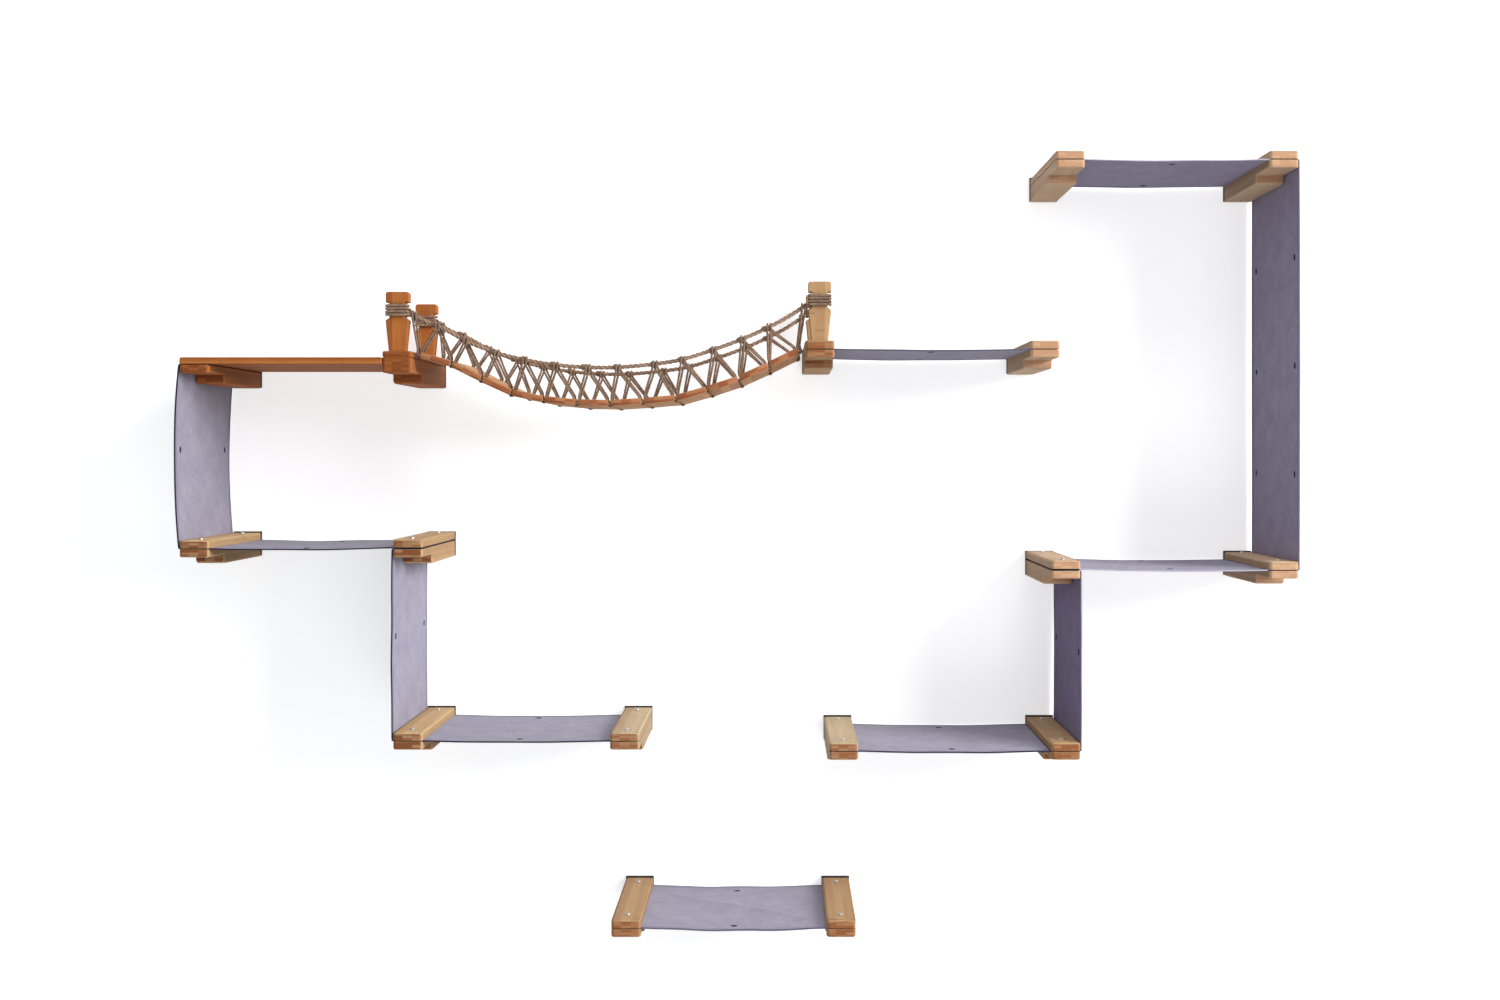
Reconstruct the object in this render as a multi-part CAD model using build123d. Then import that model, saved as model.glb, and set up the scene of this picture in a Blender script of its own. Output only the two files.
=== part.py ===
"""Wall-mounted climbing set: bamboo arms, canvas shelves and drops, a plank and a rope bridge.

X runs along the wall to the right, Y runs into the wall and Z runs up. The wall's face is Y = 0.
The origin is midway between the two wall holes of the bridge's left arm.
"""
import math
import os

from build123d import *

os.makedirs("parts", exist_ok=True)

# Where the arms stand on the wall
stud_spacing = 406.4  # studs sixteen inches apart set the columns of arms

# Arms and the battens that clamp the canvas on them
arm_reach = 280.0
arm_width = 55.5
arm_height = 32.0
nose_thick = 15.0
nose_length = 78.0
step_round = 9.0
corner_round = 6.5
batten_thick = 15.0
batten_edge = 2.0

# Wall plate with its tongue, and the lock screw under the arm
plate_rim = 1.0  # beyond the arm's sides
plate_height = 50.0
plate_rise = 3.0  # of the plate's middle over the middle of its holes
plate_thick = 3.0
plate_hole = 5.5
plate_hole_spacing = 32.0
tongue_width = 30.0
tongue_thick = 3.0
tongue_length = 60.0
tongue_drop = arm_height / 2  # from the arm's top to the tongue's top
tongue_clearance = 0.3
lock_screw_size = 6.0
lock_screw_setback = 27.0  # from the wall
lock_screw_recess = 3.0

# Clamp screws
screw_head = 9.0
screw_head_height = 3.0
screw_shank = 4.4
screw_bite = 12.0  # how far it goes into the arm
screw_clearance = 0.3
screw_back_setback = 34.0  # from the wall
screw_front_setback = 35.0  # from the front
post_screw_inset = 41.0  # how much further in the screws sit where posts stand

# Canvas
canvas_thick = 2.0
canvas_front_gap = 4.0  # from the arm's front
canvas_back_gap = 6.0  # from the wall
canvas_lead = 8.0  # straight canvas beside each arm
flap_gap = 6.0  # between two flaps that meet in one seam
flap_margin = 4.0
shelf_sag = 2.5
hammock_sag = 4.0
plank_drop_bow = 8.0
drop_bow = 1.0
drop_turn = 3.0  # radius of the bend beside an arm
slot_length = 7.5
slot_width = 3.0
slot_edge_gap = 26.0  # from the canvas's edge to the slot
tall_drop_slot_pair_count = 3

# Plank, its dowels, and the riser board at the bridge's left end
plank_thick = 12.0
plank_wall_gap = 5.0
plank_edge = 2.0
dowel_size = 8.0
dowel_length = 40.0
dowel_clearance = 0.15
dowel_inset = 70.0  # from the plank's long edges
riser_thick = 11.0

# Bridge posts
post_width = 44.0
post_thick = 18.0
post_height = 112.0
post_foot_width = 32.0
post_head_round = 5.0
post_edge = 1.5
neck_width = 30.0
neck_top_drop = 21.0  # from the post's top to the straight neck
neck_length = 28.0
neck_shoulder = 1.0
neck_slope = 5.0
tenon_width = 26.0
tenon_thick = 10.0
tenon_length = 8.0
tenon_clearance = 0.3
front_post_setback = 4.0  # from the arm's front
back_post_setback = 44.0  # from the wall

# Rope windings on the posts' necks
wrap_rope = 7.0
wrap_clearance = 0.3
wrap_gap = 0.9
wrap_corner = 5.0
wrap_climb_length = 22.0  # the run on which the rope climbs to its next turn
wrap_climb_round = 12.0
wrap_front_pass_count = 3

# Bridge deck
slat_gap = 5.0
slat_thick = 12.0
slat_end_gap = 11.0  # from a slat's end to the middle of the hand rope beside it
slat_edge = 2.5
deck_left_gap = 9.2  # from the left arm's side to the deck's first joint
deck_right_gap = 9.5
cross_rope = 4.5
cross_rope_rise = 1.2  # above the slats' lower faces
cross_rope_tail = 7.0  # past the middle of the hand rope

# Hand ropes and lacings
hand_rope = 9.0
lacing = 6.0
hump_out = 9.4  # from the hand rope's middle to the lacing's corner over it
turn_out = 5.8  # from a cross rope's middle to the lacing's corner under it
tail_drop = 14.0
arc_share = 0.45

overrun = 1.0

# Each arm's place, across and up from the bridge's left arm, as shares of the stud spacing
arm_place_shares = {
    "plank_left": (-0.940, 0), "bridge_left": (0, 0),
    "bridge_right": (1.960, 0.070), "shelf_right": (3.004, 0.070),
    "middle_left": (-0.940, -0.856), "middle_right": (0.050, -0.856),
    "lower_left": (0.050, -1.747), "lower_right": (1.055, -1.747),
    "tower_top_left": (3.121, 0.950), "tower_top_right": (4.111, 0.950),
    "tower_middle_left": (3.100, -0.955), "tower_middle_right": (4.111, -0.955),
    "tower_foot_left": (2.070, -1.794), "tower_foot_right": (3.100, -1.794),
    "hammock_left": (1.0615, -2.615), "hammock_right": (2.059, -2.615),
}

# Canvas shelves: left arm, right arm, sag
shelves = {
    "middle_shelf_canvas": ("middle_left", "middle_right", shelf_sag),
    "lower_shelf_canvas": ("lower_left", "lower_right", shelf_sag),
    "bridge_shelf_canvas": ("bridge_right", "shelf_right", shelf_sag),
    "tower_top_shelf_canvas": ("tower_top_left", "tower_top_right", shelf_sag),
    "tower_middle_shelf_canvas": ("tower_middle_left", "tower_middle_right", shelf_sag),
    "tower_foot_shelf_canvas": ("tower_foot_left", "tower_foot_right", shelf_sag),
    "hammock_canvas": ("hammock_left", "hammock_right", hammock_sag),
}

# Canvas drops: upper arm, lower arm, side on which it hangs, pairs of slots, bow
drops = {
    "plank_drop_canvas": ("plank_left", "middle_left", -1, 1, plank_drop_bow),
    "middle_drop_canvas": ("middle_right", "lower_left", -1, 1, drop_bow),
    "tower_tall_drop_canvas": (
        "tower_top_right", "tower_middle_right", 1, tall_drop_slot_pair_count, drop_bow),
    "tower_short_drop_canvas": ("tower_middle_left", "tower_foot_right", 1, 1, drop_bow),
}

# The slats' tilts in degrees, down to the right, from the left end of the deck
slat_tilts = (15.7, 26.6, 24.7, 11.3, 5.5, 1.2, -3.4, -5.0, -15.7, -18.5, -24.3, -26.5)

# The hand ropes' route, across and up from the left arm's seam
hand_rope_route = (
    (25.5, 98.0), (48.9, 82.7), (82.0, 72.1), (127.4, 45.1), (181.6, 23.9), (235.7, 10.3),
    (296.2, -0.1), (359.3, -4.7), (413.8, -4.7), (485.4, 1.8), (537.6, 9.9), (592.8, 27.9),
    (651.4, 49.0), (700.4, 71.7), (739.3, 91.5), (771.7, 114.4),
)

# Where the lacings go over the hand ropes, across and up to the hand rope's middle
lacing_tops = (
    (35.0, 92.6), (75.0, 74.3), (128.0, 46.0), (186.5, 23.0), (239.5, 10.0), (298.0, 0.0),
    (358.6, -4.3), (415.3, -4.2), (485.3, 2.2), (538.2, 10.8), (596.8, 29.6), (651.6, 49.7),
    (700.8, 72.6), (760.0, 107.3),
)

# Places that several pieces share
arm_back = -plate_thick
arm_front = -arm_reach
seam_rise = (arm_height - batten_thick) / 2  # from the middle of the plate's holes to the seam
canvas_front = arm_front + canvas_front_gap
canvas_back = -canvas_back_gap
front_post_y = arm_front + front_post_setback + post_thick / 2
back_post_y = -back_post_setback
deck_middle_y = (front_post_y + back_post_y) / 2
rail_spacing = back_post_y - front_post_y
slat_length = rail_spacing - 2 * slat_end_gap
neck_middle_drop = neck_top_drop + neck_length / 2
wrap_pitch = wrap_rope + wrap_gap

arm_places = {
    name: (across * stud_spacing, up * stud_spacing + seam_rise)
    for name, (across, up) in arm_place_shares.items()
}
post_arms = ("bridge_left", "bridge_right")


def sides_used(arm):
    """The sides of an arm from which canvas enters its seam: drops first, then shelves."""
    hanging = [side for upper, lower, side, pairs, bow in drops.values() if arm in (upper, lower)]
    lying = [1 if arm == left else -1 for left, right, sag in shelves.values() if arm in (left, right)]
    return hanging, lying


def shelf_level(arm, side):
    """How high a shelf's canvas lies in the seam: on the drop's canvas where both leave one side."""
    hanging, lying = sides_used(arm)
    return canvas_thick if side in hanging else 0


def batten_level(arm):
    """The height of a batten's lower face over its arm."""
    hanging, lying = sides_used(arm)
    if not hanging and not lying:
        return 0
    return canvas_thick + max(shelf_level(arm, side) for side in lying + [0])


def flap_end(arm, side):
    """Where a flap ends inside the seam, from the arm's middle towards its own side."""
    hanging, lying = sides_used(arm)
    if -side in hanging + lying:
        return flap_gap / 2
    return flap_margin - arm_width / 2


def screw_places(arm):
    """The two places along an arm where its clamp screws stand."""
    inset = post_screw_inset if arm in post_arms else 0
    return -screw_back_setback - inset, arm_front + screw_front_setback + inset


def prism(across, length):
    """An upright bar with six flat sides, its lower end at the origin."""
    return extrude(RegularPolygon(across / 2, 6), amount=length)


def slab(width, thick):
    """An arm-length board with rounded front corners, its lower face at the seam."""
    middle = Pos(0, (arm_back + arm_front) / 2, thick / 2)
    board = middle * Box(width, arm_back - arm_front, thick)
    corners = board.edges().filter_by(Axis.Z).group_by(Axis.Y)[0]
    return fillet(corners, corner_round)


def soften_top(board, edge):
    """Chamfers a board's top edges, but not the one against the wall plate."""
    outline = board.faces().sort_by(Axis.Z)[-1].edges()
    return chamfer([e for e in outline if e.center().Y < arm_back - edge], edge)


def tongue_slot():
    """The slot for the wall plate's tongue: the tongue bears on its roof."""
    width = tongue_width + 2 * tongue_clearance
    length = tongue_length + tongue_clearance + overrun
    thick = tongue_thick + 2 * tongue_clearance
    back = arm_back + overrun
    return Pos(0, back - length / 2, -tongue_drop - thick / 2) * Box(width, length, thick)


def lower_arm(arm):
    """The arm that carries the seam, with its thin nose, tongue slot and screw holes."""
    step = arm_front + nose_length
    outline = make_face(Polyline(
        (arm_back, 0), (arm_front, 0), (arm_front, -nose_thick), (step, -nose_thick),
        (step, -arm_height), (arm_back, -arm_height), close=True))
    lowest_front = outline.vertices().group_by(Axis.Y)[0].sort_by(Axis.X)[0]
    outline = fillet(lowest_front, step_round)
    body = extrude(Plane.YZ * outline, amount=arm_width / 2, both=True)
    body = fillet(body.edges().filter_by(Axis.Z).group_by(Axis.Y)[0], corner_round)
    lock_hole = lock_screw_size + 2 * screw_clearance
    lock_depth = arm_height - tongue_drop - tongue_thick + overrun
    body -= tongue_slot()
    body -= Pos(0, -lock_screw_setback, -arm_height - overrun) * prism(lock_hole, lock_depth)
    pilot = screw_shank + 2 * screw_clearance
    for place in screw_places(arm):
        depth = screw_bite + screw_clearance
        body -= Pos(0, place, -depth) * prism(pilot, depth + overrun)
    return body


def batten(arm):
    """The clamp batten over an arm, with its screw holes."""
    board = soften_top(slab(arm_width, batten_thick), batten_edge)
    hole = screw_shank + 2 * screw_clearance
    for place in screw_places(arm):
        board -= Pos(0, place, -overrun) * prism(hole, batten_thick + 2 * overrun)
    if arm == "bridge_left":
        board -= [Pos(-arm_width / 2, y, canvas_thick + plank_thick / 2) * dowel_hole() for y in dowel_rows()]
    if arm == "bridge_right":
        board -= mortises(batten_thick)
    return board


def dowel_rows():
    """The places along the plank's end where its two dowels stand."""
    return arm_front + dowel_inset, -plank_wall_gap - dowel_inset


def dowel_reach():
    """The depth of a dowel's hole on each side of the joint."""
    return dowel_length / 2 + dowel_clearance


def dowel_hole():
    """The hole for half a dowel, running to the right from the origin."""
    return Rotation(0, 90, 0) * prism(dowel_size + 2 * dowel_clearance, dowel_reach())


def mortises(top):
    """The sockets for the two posts' tenons, under a face at the given height."""
    width = tenon_width + 2 * tenon_clearance
    thick = tenon_thick + 2 * tenon_clearance
    depth = tenon_length + tenon_clearance
    socket = Box(width, thick, depth + overrun, align=(Align.CENTER, Align.CENTER, Align.MIN))
    return [Pos(0, y, top - depth) * socket for y in (front_post_y, back_post_y)]


def riser():
    """The board that lifts the left posts, hollowed under for the clamp screws' heads."""
    board = soften_top(slab(arm_width, riser_thick), batten_edge)
    pocket = screw_head + 2 * screw_clearance
    depth = screw_head_height + screw_clearance
    for place in screw_places("bridge_left"):
        board -= Pos(0, place, -overrun) * prism(pocket, depth + overrun)
    board -= mortises(riser_thick)
    return board


def plank():
    """The solid shelf from the far left arm to the bridge's left batten."""
    left = arm_places["plank_left"][0] - arm_width / 2
    right = arm_places["bridge_left"][0] - arm_width / 2
    depth = arm_reach - plank_wall_gap
    middle = Pos((left + right) / 2, (arm_front - plank_wall_gap) / 2, plank_thick / 2)
    board = middle * Box(right - left, depth, plank_thick)
    edges = board.faces().sort_by(Axis.Z)[-1].edges().filter_by(Axis.X)
    board = chamfer(edges, plank_edge)
    hole = screw_shank + 2 * screw_clearance
    for place in screw_places("plank_left"):
        across = arm_places["plank_left"][0]
        board -= Pos(across, place, -overrun) * prism(hole, plank_thick + 2 * overrun)
    board -= [Pos(right - dowel_reach(), y, plank_thick / 2) * dowel_hole() for y in dowel_rows()]
    return Pos(0, 0, seam_rise + canvas_thick) * board


def plank_dowels():
    """The two dowels that join the plank's end to the batten beside it."""
    right = arm_places["bridge_left"][0] - arm_width / 2
    height = seam_rise + canvas_thick + plank_thick / 2
    peg = Rotation(0, 90, 0) * prism(dowel_size, dowel_length)
    return [Pos(right - dowel_length / 2, y, height) * peg for y in dowel_rows()]


def wall_plate():
    """The steel plate against the wall, with its tongue; the middle of its two holes at the origin."""
    width = arm_width + 2 * plate_rim
    plate = Pos(0, -plate_thick / 2, plate_rise) * Box(width, plate_thick, plate_height)
    for side in (-1, 1):
        bore = Rotation(90, 0, 0) * Cylinder(plate_hole / 2, plate_thick + 2 * overrun)
        plate -= Pos(0, -plate_thick / 2, side * plate_hole_spacing / 2) * bore
    top = seam_rise - tongue_drop
    tongue = Box(tongue_width, tongue_length, tongue_thick)
    return plate + Pos(0, arm_back - tongue_length / 2, top - tongue_thick / 2) * tongue


def lock_screw():
    """The headless screw under an arm that holds its tongue."""
    length = arm_height - tongue_drop - tongue_thick - lock_screw_recess
    return Pos(0, -lock_screw_setback, lock_screw_recess - arm_height) * prism(lock_screw_size, length)


def clamp_screw(clamped):
    """A screw whose head bears at the height of what it clamps, its point in the arm."""
    head = Pos(0, 0, clamped) * prism(screw_head, screw_head_height)
    return head + Pos(0, 0, -screw_bite) * prism(screw_shank, clamped + screw_bite)


def canvas_width():
    return canvas_back - canvas_front


def slot_rows():
    """The two places across a canvas where its slots stand."""
    return canvas_front + slot_edge_gap, canvas_back - slot_edge_gap


def cloth(outline):
    """A canvas strip from its edge's outline, across its whole width."""
    strip = extrude(Plane.XZ * outline, amount=-canvas_width())
    return Pos(0, canvas_front, 0) * strip


def flap_holes(arm, side, level):
    """Holes for the clamp screws in a flap that runs under both of them."""
    hanging, lying = sides_used(arm)
    if -side in hanging + lying:
        return []
    across, up = arm_places[arm]
    hole = prism(screw_shank + 2 * screw_clearance, canvas_thick + 2 * overrun)
    return [Pos(across, place, up + level - overrun) * hole for place in screw_places(arm)]


def shelf_canvas(left_arm, right_arm, sag):
    """A canvas shelf, clamped at both arms and sagging between them."""
    left_x, left_z = arm_places[left_arm]
    right_x, right_z = arm_places[right_arm]
    left_level = left_z + shelf_level(left_arm, 1)
    right_level = right_z + shelf_level(right_arm, -1)
    start = left_x + flap_end(left_arm, 1)
    finish = right_x - flap_end(right_arm, -1)
    left_edge = left_x + arm_width / 2 + canvas_lead
    right_edge = right_x - arm_width / 2 - canvas_lead
    middle = (left_edge + right_edge) / 2
    low = (left_level + right_level) / 2 - sag

    def line(lift):
        sagging = ThreePointArc((left_edge, left_level + lift), (middle, low + lift), (right_edge, right_level + lift))
        return [Line((start, left_level + lift), (left_edge, left_level + lift)), sagging,
                Line((right_edge, right_level + lift), (finish, right_level + lift))]

    ends = [Line((start, left_level), (start, left_level + canvas_thick)),
            Line((finish, right_level), (finish, right_level + canvas_thick))]
    strip = cloth(make_face(line(0) + line(canvas_thick) + ends))
    slot = Box(slot_length, slot_width, canvas_thick + 2 * overrun)
    for y in slot_rows():
        strip -= Pos(middle, y, low + canvas_thick / 2) * slot
    strip -= flap_holes(left_arm, 1, left_level - left_z)
    strip -= flap_holes(right_arm, -1, right_level - right_z)
    return strip


def drop_canvas(upper_arm, lower_arm, side, slot_pairs, bow):
    """A canvas drop, clamped in the seams of two arms and bowed outwards between them."""
    upper_x, upper_z = arm_places[upper_arm]
    lower_x, lower_z = arm_places[lower_arm]
    upper_edge = upper_x + side * arm_width / 2
    lower_edge = lower_x + side * arm_width / 2
    start = upper_x + side * flap_end(upper_arm, side)
    finish = lower_x + side * flap_end(lower_arm, side)
    top_turn = upper_z + canvas_thick - drop_turn
    foot_turn = lower_z + drop_turn
    middle_x = (upper_edge + lower_edge) / 2
    middle_z = (top_turn + foot_turn) / 2
    diagonal = math.sqrt(1 / 2)

    def line(inset):
        reach = drop_turn - inset
        out = side * reach
        top = top_turn + reach
        foot = foot_turn - reach
        return [
            Line((start, top), (upper_edge, top)),
            ThreePointArc((upper_edge, top), (upper_edge + out * diagonal, top_turn + reach * diagonal),
                          (upper_edge + out, top_turn)),
            ThreePointArc((upper_edge + out, top_turn), (middle_x + out + side * bow, middle_z),
                          (lower_edge + out, foot_turn)),
            ThreePointArc((lower_edge + out, foot_turn), (lower_edge + out * diagonal, foot_turn - reach * diagonal),
                          (lower_edge, foot)),
            Line((lower_edge, foot), (finish, foot)),
        ]

    ends = [Line((start, upper_z), (start, upper_z + canvas_thick)),
            Line((finish, lower_z), (finish, lower_z + canvas_thick))]
    strip = cloth(make_face(line(0) + line(canvas_thick) + ends))
    slot = Box(2 * (bow + drop_turn), slot_width, slot_length)
    for row in range(slot_pairs):
        height = foot_turn + (top_turn - foot_turn) * (row + 1) / (slot_pairs + 1)
        for y in slot_rows():
            strip -= Pos(middle_x + side * (bow + drop_turn) / 2, y, height) * slot
    strip -= flap_holes(upper_arm, side, 0)
    strip -= flap_holes(lower_arm, side, 0)
    return strip


def post():
    """A bridge post with a narrowed neck and a tapered foot, standing on the origin."""
    head = post_width / 2
    neck = neck_width / 2
    foot = post_foot_width / 2
    neck_top = post_height - neck_top_drop
    neck_foot = neck_top - neck_length
    right = [(foot, 0), (head, neck_foot - neck_slope), (neck, neck_foot), (neck, neck_top),
             (head, neck_top + neck_shoulder), (head, post_height)]
    left = [(-x, z) for x, z in reversed(right)]
    outline = make_face(Polyline(*right, *left, close=True))
    outline = fillet(outline.vertices().group_by(Axis.Y)[-1], post_head_round)
    body = extrude(Plane.XZ * outline, amount=post_thick / 2, both=True)
    faces = body.faces().group_by(Axis.Y)
    rims = [e for face in (faces[0][0], faces[-1][0]) for e in face.edges() if e.center().Z > post_edge]
    body = chamfer(rims, post_edge)
    tenon = Box(tenon_width, tenon_thick, tenon_length, align=(Align.CENTER, Align.CENTER, Align.MAX))
    return body + tenon


def cord_radii(points):
    """The arc at each corner of a cord's route, as large as its two runs allow."""
    radii = []
    for before, here, after in zip(points, points[1:], points[2:]):
        run_in = Vector(*here) - Vector(*before)
        run_out = Vector(*after) - Vector(*here)
        half_turn = math.radians(run_in.get_angle(run_out)) / 2
        radii.append(arc_share * min(run_in.length, run_out.length) / math.tan(half_turn))
    return radii


def tube(points, radii, diameter, sides, across, name):
    """A cord of flat-sided section along a route of straight runs and arcs."""
    path = FilletPolyline(*points, radius=radii)
    section = Plane(origin=path @ 0, x_dir=across, z_dir=path % 0)
    section *= RegularPolygon(diameter / 2, sides, major_radius=False, rotation=180 / sides)
    solid = sweep(section, path=path)
    share = solid.volume / (section.area * path.length)
    print(f"{name}: length {path.length:.1f}, least radius {min(radii):.1f}, volume share {share:.4f}")
    return solid, path


def post_winding(mirror, name):
    """A rope wound round a post's neck as one tube: level in front, climbing to its next turn behind."""
    reach_x = mirror * (neck_width / 2 + wrap_clearance + wrap_rope / 2)
    reach_y = post_thick / 2 + wrap_clearance + wrap_rope / 2
    climb = mirror * wrap_climb_length / 2
    middle = post_height - neck_middle_drop
    points = []
    radii = []
    for turn in range(wrap_front_pass_count):
        height = middle + wrap_pitch * (turn - (wrap_front_pass_count - 1) / 2)
        if turn:
            points += [(-climb, reach_y, height), (-reach_x, reach_y, height)]
            radii += [wrap_climb_round, wrap_corner]
        else:
            points.append((-reach_x, 0, height))
        points += [(-reach_x, -reach_y, height), (reach_x, -reach_y, height)]
        radii += [wrap_corner, wrap_corner]
        if turn < wrap_front_pass_count - 1:
            points += [(reach_x, reach_y, height), (climb, reach_y, height)]
            radii += [wrap_corner, wrap_climb_round]
        else:
            points.append((reach_x, 0, height))
    solid, path = tube(points, radii, wrap_rope, 4, (0, 0, 1), name)
    print(f"{name}: least gap {winding_gap(path):.2f}")
    return solid


def winding_gap(path):
    """The least gap of a winding to itself, measured between points well apart along it."""
    steps = 360
    places = [path @ (i / steps) for i in range(steps + 1)]
    apart = math.ceil(2 * wrap_pitch * steps / path.length)
    least = min((places[i] - places[j]).length
                for i in range(len(places)) for j in range(i + apart, len(places)))
    return least - wrap_rope


def deck_joints():
    """The places of the cross ropes, across and up, along the slats' lower faces."""
    left_x, left_z = arm_places["bridge_left"]
    right_x = arm_places["bridge_right"][0]
    start = left_x + arm_width / 2 + deck_left_gap
    finish = right_x - arm_width / 2 - deck_right_gap
    angles = [math.radians(tilt) for tilt in slat_tilts]
    pitch = (finish - start) / sum(math.cos(angle) for angle in angles)
    places = [(start, left_z + batten_thick + riser_thick - slat_thick)]
    for angle in angles:
        across, up = places[-1]
        places.append((across + pitch * math.cos(angle), up - pitch * math.sin(angle)))
    return places, pitch


def bridge_slats():
    """The deck's slats, each on its own tilt, with softened long edges."""
    places, pitch = deck_joints()
    width = pitch - slat_gap
    slat = Pos(0, 0, slat_thick / 2) * Box(width, slat_length, slat_thick)
    slat = chamfer(slat.edges().filter_by(Axis.Y), slat_edge)
    slats = []
    for tilt, (x, z), (next_x, next_z) in zip(slat_tilts, places, places[1:]):
        middle = Pos((x + next_x) / 2, deck_middle_y, (z + next_z) / 2)
        slats.append(middle * Rotation(0, tilt, 0) * slat)
    return slats


def cross_rope_places():
    """The middle of each cross rope, raised from the joint along the mean of its two slats' normals."""
    places, pitch = deck_joints()
    tilts = (slat_tilts[0],) + slat_tilts + (slat_tilts[-1],)
    raised = []
    for (x, z), before, after in zip(places, tilts, tilts[1:]):
        lean = math.radians((before + after) / 2)
        raised.append((x + cross_rope_rise * math.sin(lean), z + cross_rope_rise * math.cos(lean)))
    return raised


def cross_ropes():
    """The ropes that the slats lie on, one in each gap of the deck."""
    length = rail_spacing + 2 * cross_rope_tail
    rope = Rotation(90, 0, 0) * extrude(RegularPolygon(cross_rope / 2, 6), amount=length / 2, both=True)
    return [Pos(x, deck_middle_y, z) * rope for x, z in cross_rope_places()]


def hand_rope_tube(y, name):
    """A hand rope from post to post."""
    points = [(x, y, z + seam_rise) for x, z in hand_rope_route]
    solid, path = tube(points, cord_radii(points), hand_rope, 6, (0, 1, 0), name)
    return solid


def lacing_route(y):
    """Over the hand rope from front to back, under a cross rope, and on to the next place."""
    front, back = y - hump_out, y + hump_out
    first_x, first_z = lacing_tops[0]
    points = [(first_x, back, first_z + seam_rise - tail_drop)]
    for (x, z), joint in zip(lacing_tops, cross_rope_places() + [None]):
        over = z + seam_rise + hump_out
        order = (back, front) if x == first_x else (front, back)
        points += [(x, order[0], over), (x, order[1], over)]
        if joint:
            under = joint[1] - turn_out
            points += [(joint[0] - turn_out, y, under), (joint[0] + turn_out, y, under)]
    last_x, last_z = lacing_tops[-1]
    points.append((last_x, back, last_z + seam_rise - tail_drop))
    return points


def lacing_tube(y, name):
    """The thin rope that ties a hand rope to the ends of the cross ropes, its small turns mitred."""
    path = Polyline(*lacing_route(y))
    section = Plane(origin=path @ 0, z_dir=path % 0) * RegularPolygon(lacing / 2, 6)
    solid = sweep(section, path=path, transition=Transition.RIGHT)
    share = solid.volume / (section.area * path.length)
    print(f"{name}: length {path.length:.1f}, volume share {share:.4f}")
    return solid


def write(name, solids):
    """Writes one node, whether it is one solid or a group of separate ones."""
    shape = Compound(children=solids) if isinstance(solids, list) else solids
    shape.label = name
    export_step(shape, f"parts/{name}.step")


def main():
    screws = []
    plates = []
    locks = []
    for arm, (x, z) in arm_places.items():
        place = Pos(x, 0, z)
        write(f"{arm}_arm", place * lower_arm(arm))
        clamped = batten_level(arm) + batten_thick
        if arm == "plank_left":
            clamped = canvas_thick + plank_thick
        else:
            write(f"{arm}_batten", Pos(x, 0, z + batten_level(arm)) * batten(arm))
        plates.append(Pos(x, 0, z - seam_rise) * wall_plate())
        locks.append(place * lock_screw())
        screws += [Pos(x, y, z) * clamp_screw(clamped) for y in screw_places(arm)]
    write("wall_plates", plates)
    write("lock_screws", locks)
    write("clamp_screws", screws)

    for name, (left, right, sag) in shelves.items():
        write(name, shelf_canvas(left, right, sag))
    for name, (upper, lower, side, pairs, bow) in drops.items():
        write(name, drop_canvas(upper, lower, side, pairs, bow))

    write("plank", plank())
    write("plank_dowels", plank_dowels())
    left_x, left_z = arm_places["bridge_left"]
    right_x, right_z = arm_places["bridge_right"]
    riser_foot = left_z + batten_level("bridge_left") + batten_thick
    write("post_riser", Pos(left_x, 0, riser_foot) * riser())

    left_foot = riser_foot + riser_thick
    right_foot = right_z + batten_level("bridge_right") + batten_thick
    for row, y in (("front", front_post_y), ("back", back_post_y)):
        windings = []
        for side, x, foot, mirror in (("left", left_x, left_foot, 1), ("right", right_x, right_foot, -1)):
            write(f"{row}_{side}_post", Pos(x, y, foot) * post())
            windings.append(Pos(x, y, foot) * post_winding(mirror, f"{row} {side} winding"))
        write(f"{row}_post_windings", windings)
        write(f"{row}_hand_rope", hand_rope_tube(y, f"{row} hand rope"))
        write(f"{row}_lacing", lacing_tube(y, f"{row} lacing"))
    write("bridge_slats", bridge_slats())
    write("cross_ropes", cross_ropes())


main()
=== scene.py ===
"""Looks of a wall-mounted climbing set: bamboo arms, canvas shelves and drops, a plank and a rope bridge."""
import math
from functools import partial

import bmesh
import bpy
import numpy as np
from mathutils import Matrix, Vector


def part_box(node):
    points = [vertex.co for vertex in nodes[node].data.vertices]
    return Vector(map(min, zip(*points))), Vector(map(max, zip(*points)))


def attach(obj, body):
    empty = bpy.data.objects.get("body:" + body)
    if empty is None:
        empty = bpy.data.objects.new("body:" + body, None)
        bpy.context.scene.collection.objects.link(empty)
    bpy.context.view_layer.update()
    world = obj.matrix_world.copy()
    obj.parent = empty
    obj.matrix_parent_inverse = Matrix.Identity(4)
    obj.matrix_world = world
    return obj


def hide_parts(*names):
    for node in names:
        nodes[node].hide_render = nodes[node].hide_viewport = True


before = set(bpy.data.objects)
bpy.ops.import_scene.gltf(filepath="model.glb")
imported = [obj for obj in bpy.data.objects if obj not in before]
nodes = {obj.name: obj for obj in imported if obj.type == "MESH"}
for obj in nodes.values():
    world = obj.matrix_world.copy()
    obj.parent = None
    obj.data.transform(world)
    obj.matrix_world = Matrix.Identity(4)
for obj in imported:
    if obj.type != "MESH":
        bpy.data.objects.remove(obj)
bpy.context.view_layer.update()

random = np.random.default_rng(7)
ROOT, FRONT_RAIL, BACK_RAIL, DECK = "root", "front_rope_rail", "back_rope_rail", "bridge_deck"

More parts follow.
